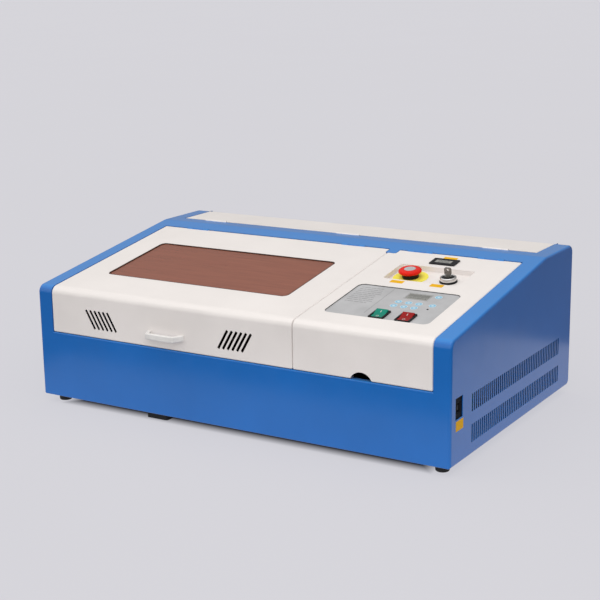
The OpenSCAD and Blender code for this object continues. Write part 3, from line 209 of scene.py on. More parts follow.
def rounded(points, radii, steps=ARC_STEPS):
    pts = [Vector(p) for p in points]
    n = len(pts)
    out = []
    for i, r in enumerate(radii):
        if r > 0:
            out += round_corner(pts[i - 1], pts[i], pts[(i + 1) % n], r, steps)
        else:
            out.append(pts[i])
    return out


def round_rect(w, h, r, steps=8):
    return rounded([(-w / 2, -h / 2), (w / 2, -h / 2), (w / 2, h / 2), (-w / 2, h / 2)], [r] * 4, steps)


def outline(d):
    """The case seen from the side, moved inwards by d."""
    corners = [
        Vector(p)
        for p in ((0, BASE_Z), (0, BREAK_Z), (SLOPE_RUN, TOP_Z), (DEPTH, TOP_Z), (DEPTH, BASE_Z))
    ]
    n = len(corners)
    normals = []
    for i in range(n):
        along = (corners[(i + 1) % n] - corners[i]).normalized()
        normals.append(Vector((along.y, -along.x)))
    moved = []
    for i in range(n):
        before, after = normals[i - 1], normals[i]
        moved.append(corners[i] + (before + after) * (d / (1 + before.dot(after))))
    return rounded(moved, [max(r - d, THIN_R) for r in CORNER_RADII])


def bend(d):
    """The bend between front and slope at depth d."""
    mid = Vector((BEND_R, BREAK_Z + BEND_R * math.tan(SLOPE) - BEND_R / math.cos(SLOPE)))
    r = max(BEND_R - d, 0.5)
    angles = [math.pi - (QUARTER - SLOPE) * i / ARC_STEPS for i in range(ARC_STEPS + 1)]
    return [mid + Vector((math.cos(a), math.sin(a))) * r for a in angles]


def quarter(r):
    """(distance from the end, inset) of the rings that round an edge to radius r, from the end inwards."""
    angles = [QUARTER * (1 - i / EDGE_STEPS) for i in range(EDGE_STEPS + 1)]
    return [(r * (1 - math.sin(a)), r * (1 - math.cos(a))) for a in angles]


# Meshes


def fill(bm, rings, flip=False):
    """Adds a closed solid lofted through rings of points, which are already in the frame."""
    rows = [[bm.verts.new(p) for p in ring] for ring in rings]
    n = len(rows[0])
    faces = [bm.faces.new(rows[0]), bm.faces.new(list(reversed(rows[-1])))]
    for a, b in zip(rows, rows[1:]):
        for i in range(n):
            faces.append(bm.faces.new((a[i], b[i], b[(i + 1) % n], a[(i + 1) % n])))
    bmesh.ops.recalc_face_normals(bm, faces=faces)
    if flip:
        bmesh.ops.reverse_faces(bm, faces=faces)


def rounded_ends(section, x0, x1, r):
    """Rings of section(inset) from x0 to x1 with both ends rounded to radius r."""
    rings = [(x0 + off, inset) for off, inset in quarter(r)]
    rings += [(x1 - off, inset) for off, inset in reversed(quarter(r))]
    return [[place((x, p[0], p[1])) for p in section(inset)] for x, inset in rings]


def add_section(bm, section, x0, x1):
    """Adds a side-view outline run from x0 to x1."""
    fill(bm, [[place((x, p[0], p[1])) for p in section] for x in (x0, x1)])


def add_prism(bm, points, z0, z1, matrix):
    fill(bm, [[matrix @ Vector((x, y, z)) for x, y in points] for z in (z0, z1)])


def add_box(bm, low, high, matrix=None):
    (x0, y0, z0), (x1, y1, z1) = low, high
    add_prism(bm, [(x0, y0), (x1, y0), (x1, y1), (x0, y1)], z0, z1, matrix or local((0, 0, 0)))


def add_lathe(bm, profile, matrix, segments=72):
    """Adds a closed profile of (radius, height) turned about the local z axis."""
    rows = []
    for r, z in profile:
        if r < 1e-6:
            rows.append([bm.verts.new(matrix @ Vector((0, 0, z)))])
        else:
            rows.append([
                bm.verts.new(matrix @ Vector((r * math.cos(a), r * math.sin(a), z)))
                for a in (2 * math.pi * i / segments for i in range(segments))
            ])
    faces = []
    for a, b in zip(rows, rows[1:] + rows[:1]):
        for i in range(segments):
            quad = [a[i % len(a)], b[i % len(b)], b[(i + 1) % len(b)], a[(i + 1) % len(a)]]
            corner = list(dict.fromkeys(quad))
            if len(corner) > 2:
                faces.append(bm.faces.new(corner))
    bmesh.ops.recalc_face_normals(bm, faces=faces)


def linked(name, data):
    obj = bpy.data.objects.new(name, data)
    bpy.context.scene.collection.objects.link(obj)
    return obj


def as_object(name, bm):
    mesh = bpy.data.meshes.new(name)
    bm.to_mesh(mesh)
    bm.free()
    return linked(name, mesh)


@contextmanager
def shaped(obj, operation):
    """Gives a mesh to draw in, then cuts it out of obj or joins it on."""
    bm = bmesh.new()
    yield bm
    tool = as_object("tool", bm)
    mod = obj.modifiers.new("bool", "BOOLEAN")
    mod.operation = operation
    mod.solver = "EXACT"
    mod.use_self = True
    mod.object = tool
    bpy.context.view_layer.update()
    mesh = bpy.data.meshes.new_from_object(obj.evaluated_get(bpy.context.evaluated_depsgraph_get()))
    obj.modifiers.clear()
    old = obj.data
    obj.data = mesh
    bpy.data.meshes.remove(old)
    mesh.name = obj.name
    bpy.data.meshes.remove(tool.data)


def cut(obj):
    return shaped(obj, "DIFFERENCE")


def joined(obj):
    return shaped(obj, "UNION")


def bevel(obj, width, segments, angle):
    mod = obj.modifiers.new("edges", "BEVEL")
    mod.width = width * MM
    mod.segments = segments
    mod.limit_method = "ANGLE"
    mod.angle_limit = math.radians(angle)
    return mod


def soften(obj, width, segments):
    """Rounds the sharp edges slightly and shades the rest smooth."""
    obj.data.shade_smooth()
    if width > 0:
        mod = bevel(obj, width, segments, SHARP)
        mod.miter_outer = "MITER_ARC"
        mod.harden_normals = True
    else:
        obj.data.set_sharp_from_angle(angle=math.radians(SHARP))
    normals = obj.modifiers.new("normals", "WEIGHTED_NORMAL")
    normals.keep_sharp = True
    normals.weight = 80


def piece(obj, body, slot, replaces=(), edge=0, segments=2, material=None):
    """Finishes a piece: edges, material, the body that it rides on and the nodes that it stands for."""
    soften(obj, edge, segments)
    obj.data.materials.clear()
    obj.data.materials.append(material or MATERIALS[slot])
    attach(obj, body)
    if replaces:
        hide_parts(*replaces)


# Materials


class Nodes:
    """Short way to wire a material's nodes."""

    def __init__(self, name):
        self.material = bpy.data.materials.new(name)
        self.material.use_nodes = True
        self.tree = self.material.node_tree
        self.shader = self.tree.nodes["Principled BSDF"]
        self.coords = self.add("ShaderNodeTexCoord")

    def add(self, kind, **values):
        node = self.tree.nodes.new(kind)
        for key, value in values.items():
            setattr(node, key, value)
        return node

    def link(self, out, socket):
        self.tree.links.new(out, socket)

    def noise(self, scale, detail=4.0, roughness=0.55, stretch=None):
        node = self.add("ShaderNodeTexNoise")
        node.inputs["Scale"].default_value = scale
        node.inputs["Detail"].default_value = detail
        node.inputs["Roughness"].default_value = roughness
        source = self.coords.outputs["Object"]
        if stretch:
            mapping = self.add("ShaderNodeMapping")
            mapping.inputs["Scale"].default_value = stretch
            self.link(source, mapping.inputs["Vector"])
            source = mapping.outputs["Vector"]
        self.link(source, node.inputs["Vector"])
        return node.outputs["Fac"]

    def spread(self, value, low, high, from_low=0.3, from_high=0.7):
        node = self.add("ShaderNodeMapRange")
        ends = {"From Min": from_low, "From Max": from_high, "To Min": low, "To Max": high}
        for key, number in ends.items():
            node.inputs[key].default_value = number
        self.link(value, node.inputs["Value"])
        return node.outputs["Result"]

    def ramp(self, value, stops):
        node = self.add("ShaderNodeValToRGB")
        ramp = node.color_ramp
        while len(ramp.elements) < len(stops):
            ramp.elements.new(0.5)
        for element, (at, color) in zip(ramp.elements, stops):
            element.position = at
            element.color = (*color, 1.0)
        self.link(value, node.inputs["Fac"])
        return node.outputs["Color"]

    def tint(self, value, *stops):
        self.link(self.ramp(value, stops), self.shader.inputs["Base Color"])

    def gloss(self, value, low, high, *ends):
        self.link(self.spread(value, low, high, *ends), self.shader.inputs["Roughness"])

    def math(self, operation, *values):
        """Output of a sum on links and numbers."""
        node = self.add("ShaderNodeMath", operation=operation)
        for socket, value in zip(node.inputs, values):
            if isinstance(value, float):
                socket.default_value = value
            else:
                self.link(value, socket)
        return node.outputs["Value"]

    def axes(self, vector):
        node = self.add("ShaderNodeSeparateXYZ")
        self.link(vector, node.inputs["Vector"])
        return node.outputs

    def see_through(self, color, share):
        """Lets light through in place of the shader, by a share that is a number or a link."""
        clear = self.add("ShaderNodeBsdfTransparent")
        clear.inputs["Color"].default_value = (*color, 1.0)
        mix = self.add("ShaderNodeMixShader")
        if isinstance(share, float):
            mix.inputs["Fac"].default_value = share
        else:
            self.link(share, mix.inputs["Fac"])
        self.link(self.shader.outputs["BSDF"], mix.inputs[1])
        self.link(clear.outputs["BSDF"], mix.inputs[2])
        self.link(mix.outputs["Shader"], self.tree.nodes["Material Output"].inputs["Surface"])

    def bump(self, value, strength, distance):
        node = self.add("ShaderNodeBump")
        node.inputs["Strength"].default_value = strength
        node.inputs["Distance"].default_value = distance * MM
        self.link(value, node.inputs["Height"])
        self.link(node.outputs["Normal"], self.shader.inputs["Normal"])

    def set(self, **values):
        for key, value in values.items():
            self.shader.inputs[key.replace("_", " ")].default_value = value


def shade(color, factor):
    return tuple(min(1.0, c * factor) for c in color)


def coat_paint(name, color, rough, top=None, grain=1400.0, strength=0.12):
    """Powder coat: orange-peel grain, slight cloudiness in tone and gloss, and painted light: faces that
    point up take the paler top colour, as though lit from above.
    """
    n = Nodes(name)
    if top:
        n.set(Sheen_Weight=0.18, Sheen_Roughness=0.4, Sheen_Tint=(1.0, 0.7, 0.5, 1.0))
    top = top or color
    # Painted light: the colour turns to the top colour where the face points up, as though lit from above.
    up = n.axes(n.add("ShaderNodeNewGeometry").outputs["Normal"])["Z"]
    tone = n.math("ADD", n.spread(up, 0.0, 0.8, 0.5, 0.97), n.spread(n.noise(7.0, 3.0), 0.0, 0.2))
    sides = (0.0, shade(color, 0.95)), (0.2, shade(color, 1.05))
    n.tint(tone, *sides, (0.8, shade(top, 0.97)), (1.0, shade(top, 1.03)))
    n.gloss(n.noise(38.0, 5.0), rough - 0.04, rough + 0.05)
    n.bump(n.noise(grain, 2.0), strength, 0.06)
    return n.material


def plastic(name, color, rough, grain=900.0, strength=0.15, specular=0.5):
    """Moulded plastic, rubber or print: fine texture, slight variation in tone and gloss."""
    n = Nodes(name)
    n.tint(n.noise(24.0, 4.0), (0.3, shade(color, 0.9)), (0.7, shade(color, 1.1)))
    n.gloss(n.noise(90.0, 4.0), rough - 0.05, rough + 0.06)
    n.bump(n.noise(grain, 3.0), strength, 0.08)
    n.set(Specular_IOR_Level=specular)
    return n.material


def metal(name, color, rough, stretch=(1.0, 60.0, 60.0), strength=0.12):
    """Drawn or brushed metal: fine lines along x, with smudges in the gloss."""
    n = Nodes(name)
    lines = n.noise(40.0, 6.0, 0.6, stretch)
    n.tint(lines, (0.25, shade(color, 0.82)), (0.75, shade(color, 1.1)))
    n.gloss(n.noise(15.0, 5.0), rough - 0.07, rough + 0.09)
    n.bump(lines, strength, 0.05)
    n.set(Metallic=1.0)
    return n.material


def zinc(name, color, rough):
    """Zinc-plated sheet: blotchy crystals in tone and gloss."""
    n = Nodes(name)
    cells = n.add("ShaderNodeTexVoronoi")
    cells.inputs["Scale"].default_value = 130.0
    n.link(n.coords.outputs["Object"], cells.inputs["Vector"])
    n.tint(cells.outputs["Color"], (0.0, shade(color, 0.88)), (1.0, shade(color, 1.08)))
    n.gloss(cells.outputs["Color"], rough - 0.08, rough + 0.1, 0.0, 1.0)
    n.bump(n.noise(300.0, 4.0), 0.1, 0.05)
    n.set(Metallic=1.0)
    return n.material


def glass(name, color, alpha, rough):
    """Clear borosilicate: thin walls, seen mostly by its gloss."""
    n = Nodes(name)
    n.tint(n.noise(9.0), (0.3, shade(color, 0.94)), (0.7, color))
    n.gloss(n.noise(60.0), rough, rough + 0.04)
    n.bump(n.noise(30.0, 2.0), 0.05, 0.2)
    n.set(Alpha=alpha, Specular_IOR_Level=0.6)
    return n.material


def acrylic(name, color, through, clear):
    """Tinted pane: faint streaks from extrusion, a soft haze and a coloured view through."""
    n = Nodes(name)
    streaks = n.noise(30.0, 6.0, 0.65, (0.35, 5.0, 1.0))
    n.tint(streaks, (0.3, shade(color, 0.9)), (0.7, shade(color, 1.12)))
    n.gloss(n.noise(55.0, 5.0), 0.16, 0.26)
    n.bump(streaks, 0.06, 0.1)
    n.see_through(through, clear)
    return n.material


def button(name, color, pale):
    """Printed key: a pale rim, the key's colour and a pale mark in the middle."""
    n = Nodes(name)
    across = n.axes(n.coords.outputs["Generated"])
    flat = n.add("ShaderNodeCombineXYZ")
    for axis in "XY":
        n.link(across[axis], flat.inputs[axis])
    away = n.add("ShaderNodeVectorMath", operation="DISTANCE")
    away.inputs[1].default_value = (0.5, 0.5, 0.0)
    n.link(flat.outputs["Vector"], away.inputs[0])
    stops = [(0.0, pale), (0.15, pale), (0.19, color), (0.40, color), (0.43, pale), (0.47, pale)]
    n.tint(away.outputs["Value"], *stops)
    n.gloss(n.noise(120.0), 0.35, 0.45)
    n.bump(n.noise(1500.0, 2.0), 0.1, 0.04)
    return n.material


def two_paints(name, front, back, border):
    """Powder coat that changes colour at a distance from the front, for hinges between two covers."""
    n = Nodes(name)
    edge = place((0.0, border, 0.0)).y
    y = n.axes(n.add("ShaderNodeNewGeometry").outputs["Position"])["Y"]
    tone = n.math("ADD", n.spread(y, 0.0, 0.8, edge, edge + MM), n.spread(n.noise(7.0, 3.0), 0.0, 0.2))
    n.tint(tone, (0.0, shade(front, 0.95)), (0.2, front), (0.8, shade(back, 0.97)), (1.0, back))
    n.gloss(n.noise(38.0, 5.0), 0.3, 0.42)
    n.bump(n.noise(1400.0, 2.0), 0.08, 0.06)
    return n.material


BLUE = (0.008, 0.140, 0.49)
# Paler blue for faces that point up: painted light from above.
BLUE_LIT_TOP = (0.016, 0.215, 0.62)
WHITE = (0.83, 0.785, 0.76)
MATERIALS = {
    "blue_paint": coat_paint("blue_powder_coat", BLUE, 0.2, BLUE_LIT_TOP, strength=0.05),
    "white_paint": coat_paint("white_powder_coat", WHITE, 0.42),
    "zinc_sheet": zinc("zinc_plated_sheet", (0.52, 0.53, 0.55), 0.38),
    "bright_steel": metal("ground_steel", (0.62, 0.62, 0.63), 0.22),
    "dark_steel": coat_paint("black_enamel", (0.022, 0.022, 0.024), 0.45, grain=1000.0, strength=0.2),
    "alloy": metal("anodised_alloy", (0.66, 0.67, 0.69), 0.36),
    "black_plastic": plastic("black_plastic", (0.010, 0.010, 0.012), 0.42, specular=0.15),
    "foot_rubber": plastic("foot_rubber", (0.018, 0.018, 0.018), 0.75, 500.0, 0.3, 0.3),
    "belt_rubber": plastic("belt_rubber", (0.014, 0.014, 0.014), 0.7, 600.0, 0.3, 0.3),
    "tube_glass": glass("tube_glass", (0.80, 0.87, 0.92), 0.32, 0.04),
    "window_acrylic": acrylic("tinted_acrylic", (0.36, 0.135, 0.088), (0.95, 0.5, 0.3), 0.32),
    "membrane_grey": plastic("membrane_grey", (0.46, 0.46, 0.47), 0.45, 1200.0, 0.1),
    "key_blue": button("key_print", (0.22, 0.5, 0.68), (0.62, 0.72, 0.78)),
    "stop_red": plastic("stop_red", (0.74, 0.014, 0.006), 0.3, 500.0, 0.04, 0.15),
    "stop_yellow": plastic("stop_yellow", (0.86, 0.79, 0.10), 0.5, specular=0.1),
    "rocker_green": plastic("rocker_green", (0.002, 0.21, 0.145), 0.25, 300.0, 0.04, 0.15),
    "rocker_red": plastic("rocker_red", (0.27, 0.004, 0.004), 0.25, 300.0, 0.04, 0.15),
    "key_steel": metal("nickel_plate", (0.27, 0.26, 0.24), 0.18, (20.0, 20.0, 20.0), 0.06),
    "barb_brass": metal("turned_brass", (0.70, 0.48, 0.2), 0.26, (60.0, 2.0, 60.0)),
    "board_green": plastic("board_lacquer", (0.012, 0.13, 0.05), 0.32, 400.0, 0.2),
}
CHROME = metal("chrome_ring", (0.74, 0.73, 0.72), 0.12, (20.0, 20.0, 20.0), 0.04)
STICKER = plastic("patch_amber", (0.82, 0.44, 0.006), 0.5, 700.0, 0.1, 0.1)
LCD = plastic("display_grey", (0.29, 0.29, 0.27), 0.22, 900.0, 0.04)
SEGMENTS = plastic("display_dark", (0.045, 0.05, 0.05), 0.3, 900.0, 0.04)
PRINT = plastic("print_grey", (0.22, 0.22, 0.23), 0.5, 900.0, 0.04)
CAP_GREY = plastic("cap_grey", (0.42, 0.44, 0.46), 0.4, 900.0, 0.1)
GRIP = plastic("grip_plastic", (0.78, 0.765, 0.745), 0.32)
# Painted shade for the ring round the keypad.
KEYPAD_SHADE = plastic("keypad_painted_shade", (0.06, 0.06, 0.06), 0.6)
SOCKET = plastic("socket_black", (0.005, 0.006, 0.009), 0.6, specular=0.1)
# Painted shade for the dark strip round the window.
WINDOW_SHADE = plastic("window_painted_shade", (0.052, 0.023, 0.018), 0.6, specular=0.1)
MARK = plastic("mark_white", (0.55, 0.55, 0.53), 0.45, 900.0, 0.08)


# Case shell


def slope_cut(bm, points):
    """A cutter through the slope whose outline is drawn as (x, s)."""
    add_prism(bm, points, *SLOPE_CUT, on_slope(0, 0))


def knuckle_cuts(bm, xs):
    """Room in strip and cover for the knuckles along the slope's hinges."""
    low, high = SLOPE_KNUCKLE
    for x in xs:
        at = on_slope(x, HINGE_S, -PIN_SINK)
        add_box(bm, (-KNUCKLE_HALF, -KNUCKLE_ROOM, low), (KNUCKLE_HALF, KNUCKLE_ROOM, high), at)


def hinge_places(node):
    """Middles of a node's outer hinges across the case."""
    low, high = cad_box(node)
    return [low.x + LEAF_HALF, high.x - LEAF_HALF]


def cover_knuckle_cuts(bm):
    """Room in strip and tube cover for the knuckles between them."""
    low, high = (TOP_Z + z for z in COVER_KNUCKLE)
    y0, y1 = COVER_PIN_Y - KNUCKLE_ROOM, COVER_PIN_Y + KNUCKLE_ROOM
    for x in COVER_HINGES:
        add_box(bm, (x - KNUCKLE_HALF, y0, low), (x + KNUCKLE_HALF, y1, high))


def socket_box(bm, x0, x1, half_y, half_z):
    """A box round the axis of the data socket in the right side."""
    low = (x0, SOCKET_Y - half_y, SOCKET_Z - half_z)
    add_box(bm, low, (x1, SOCKET_Y + half_y, SOCKET_Z + half_z))


LID_HINGES = hinge_places("lid_hinge_leaves")
PANEL_HINGES = hinge_places("panel_hinge_leaves")
COVER_HINGES = [*hinge_places("cover_hinge_leaves"), 0.0]


def case_shell():
    bm = bmesh.new()
    fill(bm, rounded_ends(outline, -SIDE_X, SIDE_X, SIDE_R))
    inside = SIDE_X - SHEET
    fill(bm, rounded_ends(lambda d: outline(SHEET + d), -inside, inside, SIDE_R - SHEET), flip=True)
    shell = as_object("case_shell", bm)

    # Folded edges inside the openings, joined on before the openings are cut
    half = RIM_X + SHEET
    mid = SHEET / 2
    with joined(shell) as bm:
        add_box(bm, (-half, mid, FRONT_TOP - SHEET), (half, FLANGE, FRONT_TOP + 1))
    with joined(shell) as bm:
        low, end = FRONT_TOP - mid, STRIP_S + SHEET
        outer = [Vector((mid, low)), *bend(mid), Vector(slope_point(end, -mid))]
        inner = [Vector((FLANGE, low)), *bend(FLANGE), Vector(slope_point(end, -FLANGE))]
        add_section(bm, outer + inner[::-1], -half, half)
    with joined(shell) as bm:
        add_box(bm, (-half, STRIP_BACK - SHEET, TOP_Z - FLANGE), (half, DEPTH - mid, TOP_Z - mid))
    with joined(shell) as bm:
        wide = half + REAR_FRAME
        low = (-wide, DEPTH - REAR_FLANGE, BASE_Z + 5)
        add_box(bm, low, (wide, DEPTH - SHEET + REAR_FIT, FLAP_Z - 1))

    # Opening of lid and control panel, with the tab left standing
    with cut(shell) as bm:
        inside, top = 30.0, 190.0
        edge = Vector((inside, FRONT_TOP))
        roll = round_corner(edge, Vector((0, FRONT_TOP)), Vector((0, BASE_Z)), FRONT_ROLL, EDGE_STEPS)
        above = [Vector((-CLEAR, roll[-1].y)), Vector((-CLEAR, top)), Vector((inside, top))]
        add_section(bm, [edge, *roll, *above], -RIM_X, RIM_X)
    with cut(shell) as bm:
        (x0, x1, s0), below = TAB, -3 * CLEAR
        corners = [
            (-RIM_X, below), (RIM_X, below), (RIM_X, STRIP_S), (x1, STRIP_S),
            (x1, s0), (x0, s0), (x0, STRIP_S), (-RIM_X, STRIP_S),
        ]
        slope_cut(bm, rounded(corners, [0, 0, 0, TAB_R, TAB_R, TAB_R, TAB_R, 0], EDGE_STEPS))
    with cut(shell) as bm:
        add_box(bm, (x0 - 1, s0 - 1, SLOPE_CUT[0]), (x1 + 1, STRIP_S + 1, -SHEET), on_slope(0, 0))
        knuckle_cuts(bm, LID_HINGES + PANEL_HINGES)

    # Openings of the tube cover and the rear plate
    behind = DEPTH + CLEAR
    with cut(shell) as bm:
        add_box(bm, (-RIM_X, STRIP_BACK, FLAP_Z), (RIM_X, behind, TOP_Z + CLEAR))
        low = (-RIM_X, DEPTH - SHEET - REAR_FIT, BASE_Z + REAR_SILL)
        add_box(bm, low, (RIM_X, behind, FLAP_Z + 1))
    with cut(shell) as bm:
        wide = RIM_X - REAR_FRAME
        low = (-wide, DEPTH - CLEAR, BASE_Z + REAR_SILL + REAR_FRAME)
        add_box(bm, low, (wide, behind, FLAP_Z + 1))
        cover_knuckle_cuts(bm)

    # Vents and connector opening in the right side, with the sheet thinner behind the vents
    with cut(shell) as bm:
        y0, y1 = VENT_Y - 2 * SKIN_MARGIN, VENT_Y + VENT_PITCH * VENT_COUNT + 2.0
        for z in VENT_ROWS:
            low = (SIDE_X - SHEET - SKIN_MARGIN, y0, z - SKIN_MARGIN)
            add_box(bm, low, (SIDE_X - SKIN, y1, z + VENT_H + SKIN_MARGIN))
    with cut(shell) as bm:
        x0, x1 = SIDE_X - 4, SIDE_X + 4
        for z in VENT_ROWS:
            for i in range(VENT_COUNT):
                y = VENT_Y + VENT_PITCH * i
                add_box(bm, (x0, y, z), (x1, y + VENT_W, z + VENT_H))
        socket_box(bm, x0, x1, *SOCKET_HALF)
    nodes = ("base_tray", "left_side_panel", "right_side_panel", "edge_rims", "cross_strip")
    piece(shell, "case", "blue_paint", nodes, edge=0.35)


# Covers


def cover_section(depth, rear_s, back, closing):
    """Side view of a folded cover: lower lip, front, bend and slope at a depth, closed at the depth back."""
    low = lid_low.z + depth
    start, corner, above = Vector((back, low)), Vector((depth, low)), Vector((depth, low + 50))
    lip = round_corner(start, corner, above, max(COVER_R - depth, THIN_R), EDGE_STEPS)
    rear = [Vector(slope_point(rear_s, -n)) for n in (depth, back)]
    return [start, *lip, *bend(depth), *rear, *closing]


def folded_cover(name, x0, x1):
    """Sheet cover with lips folded down at both ends and along its lower edge."""
    bm = bmesh.new()
    fill(bm, rounded_ends(lambda d: cover_section(d, COVER_S, LIP, bend(LIP)[::-1]), x0, x1, COVER_R))
    cover = as_object(name, bm)
    room = 45.0
    closing = [Vector(slope_point(70, -room))]

    def inner(d):
        return cover_section(SHEET + d, COVER_S + CLEAR, room, closing)

    with cut(cover) as bm:
        fill(bm, rounded_ends(inner, x0 + SHEET, x1 - SHEET, COVER_R - SHEET))
    return cover


def cut_tab_notch(cover):
    x0, x1, s0, s1 = TAB[0] - GAP, TAB[1] + GAP, TAB[2] - GAP, STRIP_S + 5
    radii = [TAB_R + GAP, TAB_R + GAP, 0, 0]
    with cut(cover) as bm:
        slope_cut(bm, rounded([(x0, s0), (x1, s0), (x1, s1), (x0, s1)], radii, EDGE_STEPS))


def lid():
    shell = folded_cover("lid_shell", lid_low.x, lid_high.x)
    middle = (lid_low.x + lid_high.x) / 2
    w, h, r, s = WINDOW
    with cut(shell) as bm:
        add_prism(bm, round_rect(w, h, r, 12), -15, 15, on_slope(WINDOW_X, s))
        knuckle_cuts(bm, LID_HINGES)
    cut_tab_notch(shell)
    # The sheet is thinner behind the slots
    with cut(shell) as bm:
        half_x, half_z = 45.0, 24.0
        for side in (-1, 1):
            x = middle + side * SLOT_OUT
            low = (x - half_x, SKIN, SLOT_MID - half_z)
            add_box(bm, low, (x + half_x, SHEET + SKIN_MARGIN, SLOT_MID + half_z))
    with cut(shell) as bm:
        for side in (-1, 1):
            for i in range(SLOTS):
                x = middle + side * SLOT_OUT + (i - (SLOTS - 1) / 2) * SLOT_PITCH
                at = local((x, 0, SLOT_MID), (side * SLOT_LEAN, "Y"), (QUARTER, "X"))
                add_prism(bm, round_rect(SLOT_W, SLOT_L, 1.0, 3), -8, 8, at)
    piece(shell, "lid", "white_paint", ["lid_panel"], edge=0.3)


def window_shade_strip():
    """Dark strip round the window, which is painted shade along the lid's cut edge: it lies on the pane,
    inside the lid's opening.
    """
    w, h, r, s = WINDOW
    at = on_slope(WINDOW_X, s)
    play, wide = 2 * SHADE_STRIP_PLAY, 2 * SHADE_STRIP_W
    bm = bmesh.new()
    add_prism(bm, round_rect(w - play, h - play, r, 12), SHADE_STRIP_PLAY - SHEET, -0.2, at)
    shade_strip = as_object("window_shade_strip", bm)
    with cut(shade_strip) as bm:
        add_prism(bm, round_rect(w - wide, h - wide, r - SHADE_STRIP_W, 12), -5, 5, at)
    piece(shade_strip, "lid", "black_plastic", [], 0.2, 2, WINDOW_SHADE)


def lid_grip():
    low, high = cad_box("lid_handle")
    middle = (low.x + high.x) / 2
    half, out = (high.x - low.x) / 2, -low.y
    bar, thick = 28.5, 6.5
    leg = thick * math.hypot(half - bar, out) / out
    inner = half - leg - (half - bar) * (out - thick) / out
    corners = [
        (-half, 0), (-bar, -out), (bar, -out), (half, 0),
        (half - leg, 0), (inner, thick - out), (-inner, thick - out), (leg - half, 0),
    ]
    bm = bmesh.new()
    points = rounded(corners, [0, 5, 5, 0, 0, 2, 2, 0], EDGE_STEPS)
    add_prism(bm, points, 0, high.z - low.z, local((middle, 0, low.z)))
    piece(as_object("lid_grip", bm), "lid", "white_paint", ["lid_handle"], 1.6, 4, GRIP)


def control_panel():
    shell = folded_cover("panel_shell", panel_low.x, panel_high.x)
    w, h, r, s, deep = POCKET
    at = on_slope(CONTROL_X, s)
    with joined(shell) as bm:
        tub = round_rect(w + 2 * SHEET, h + 2 * SHEET, r + SHEET)
        add_prism(bm, tub, -deep - SHEET, -SHEET / 2, at)
    with cut(shell) as bm:
        add_prism(bm, round_rect(w, h, r), -deep, 10, at)
    with cut(shell) as bm:
        for x, hole in ((STOP_X, STOP_HOLE), (LOCK_X, LOCK_HOLE)):
            add_lathe(bm, [(0, -20), (hole, -20), (hole, -5), (0, -5)], on_slope(x, s), 48)
        w, h, r, s = KEYPAD
        add_prism(bm, round_rect(w, h, r, 12), -4, 10, on_slope(CONTROL_X, s))
        w, h, s = METER
        add_prism(bm, round_rect(w - 3.9, h - 3.9, 0.5, 3), -4, 10, on_slope(CONTROL_X, s))
        knuckle_cuts(bm, PANEL_HINGES)
    cut_tab_notch(shell)
    with cut(shell) as bm:
        at = local((CONTROL_X + NOTCH_X, -10, panel_low.z + NOTCH_H - NOTCH_R), (-QUARTER, "X"))
        add_lathe(bm, [(0, 0), (NOTCH_R, 0), (NOTCH_R, 40.0), (0, 40.0)], at, 96)
    piece(shell, "panel", "white_paint", ["panel_cover"], edge=0.3)


def tube_section(depth, y0, z0, back):
    """Side view of the tube cover: top, rear bend and flap at a depth, closed at the depth back."""
    y, z = DEPTH - depth, TOP_Z - depth
    start, end = Vector((y0, z)), Vector((y, z0))
    arc = round_corner(start, Vector((y, z)), end, CORNER_RADII[3] - min(depth, 13), 10)
    y, z = DEPTH - back, TOP_Z - back
    return [start, *arc, end, Vector((y, z0)), Vector((y, z)), Vector((y0, z))]


def tube_cover():
    x0, x1, y0 = cover_low.x, cover_high.x, cover_low.y
    bm = bmesh.new()
    fill(bm, rounded_ends(lambda d: tube_section(d, y0, FLAP_Z + GAP, LIP), x0, x1, COVER_R))
    cover = as_object("tube_cover_shell", bm)

    def inner(d):
        return tube_section(SHEET + d, y0 - CLEAR, FLAP_Z - CLEAR, 60.0)

    with cut(cover) as bm:
        fill(bm, rounded_ends(inner, x0 + SHEET, x1 - SHEET, COVER_R - SHEET))
    with cut(cover) as bm:
        cover_knuckle_cuts(bm)
    piece(cover, "tube_cover", "white_paint", ["tube_cover"], edge=0.3)


def rear_plate():
    play = 0.5
    half = RIM_X - play
    y0, y1 = DEPTH - 10, DEPTH + 10
    bm = bmesh.new()
    low = (-half, DEPTH - SHEET + REAR_FIT, BASE_Z + REAR_SILL + play)
    add_box(bm, low, (half, DEPTH, FLAP_Z))
    plate = as_object("rear_plate", bm)
    with cut(plate) as bm:
        low, high = cad_box("exhaust_hood")
        inset, over = 17.5, 6.0
        corner = (high.x - inset, y1, high.z - inset - over)
        add_box(bm, (low.x + inset, y0, low.z + inset + over), corner)
        low, high = cad_box("mains_inlet")
        middle = (low + high) / 2
        w, h = 14.05, 10.05
        add_box(bm, (middle.x - w, y0, middle.z - h), (middle.x + w, y1, middle.z + h))
    with cut(plate) as bm:
        low, high = cad_box("hose_barbs")
        flange, hole = 9.0, 4.55
        for x in (low.x + flange, high.x - flange):
            at = local((x, y0, (low.z + high.z) / 2), (-QUARTER, "X"))
            add_lathe(bm, [(0, 0), (hole, 0), (hole, 20.0), (0, 20.0)], at, 40)
    piece(plate, "case", "blue_paint", ["rear_panel"], edge=0.3)


# Control details


@contextmanager
def drawn(name, body, slot, material=None, replaces=(), edge=0):
    """Gives a mesh to draw in, then finishes it as a piece."""
    bm = bmesh.new()
    yield bm
    piece(as_object(name, bm), body, slot, replaces, edge, material=material)


def around(r, angles):
    return [(r * math.cos(a), r * math.sin(a)) for a in angles]


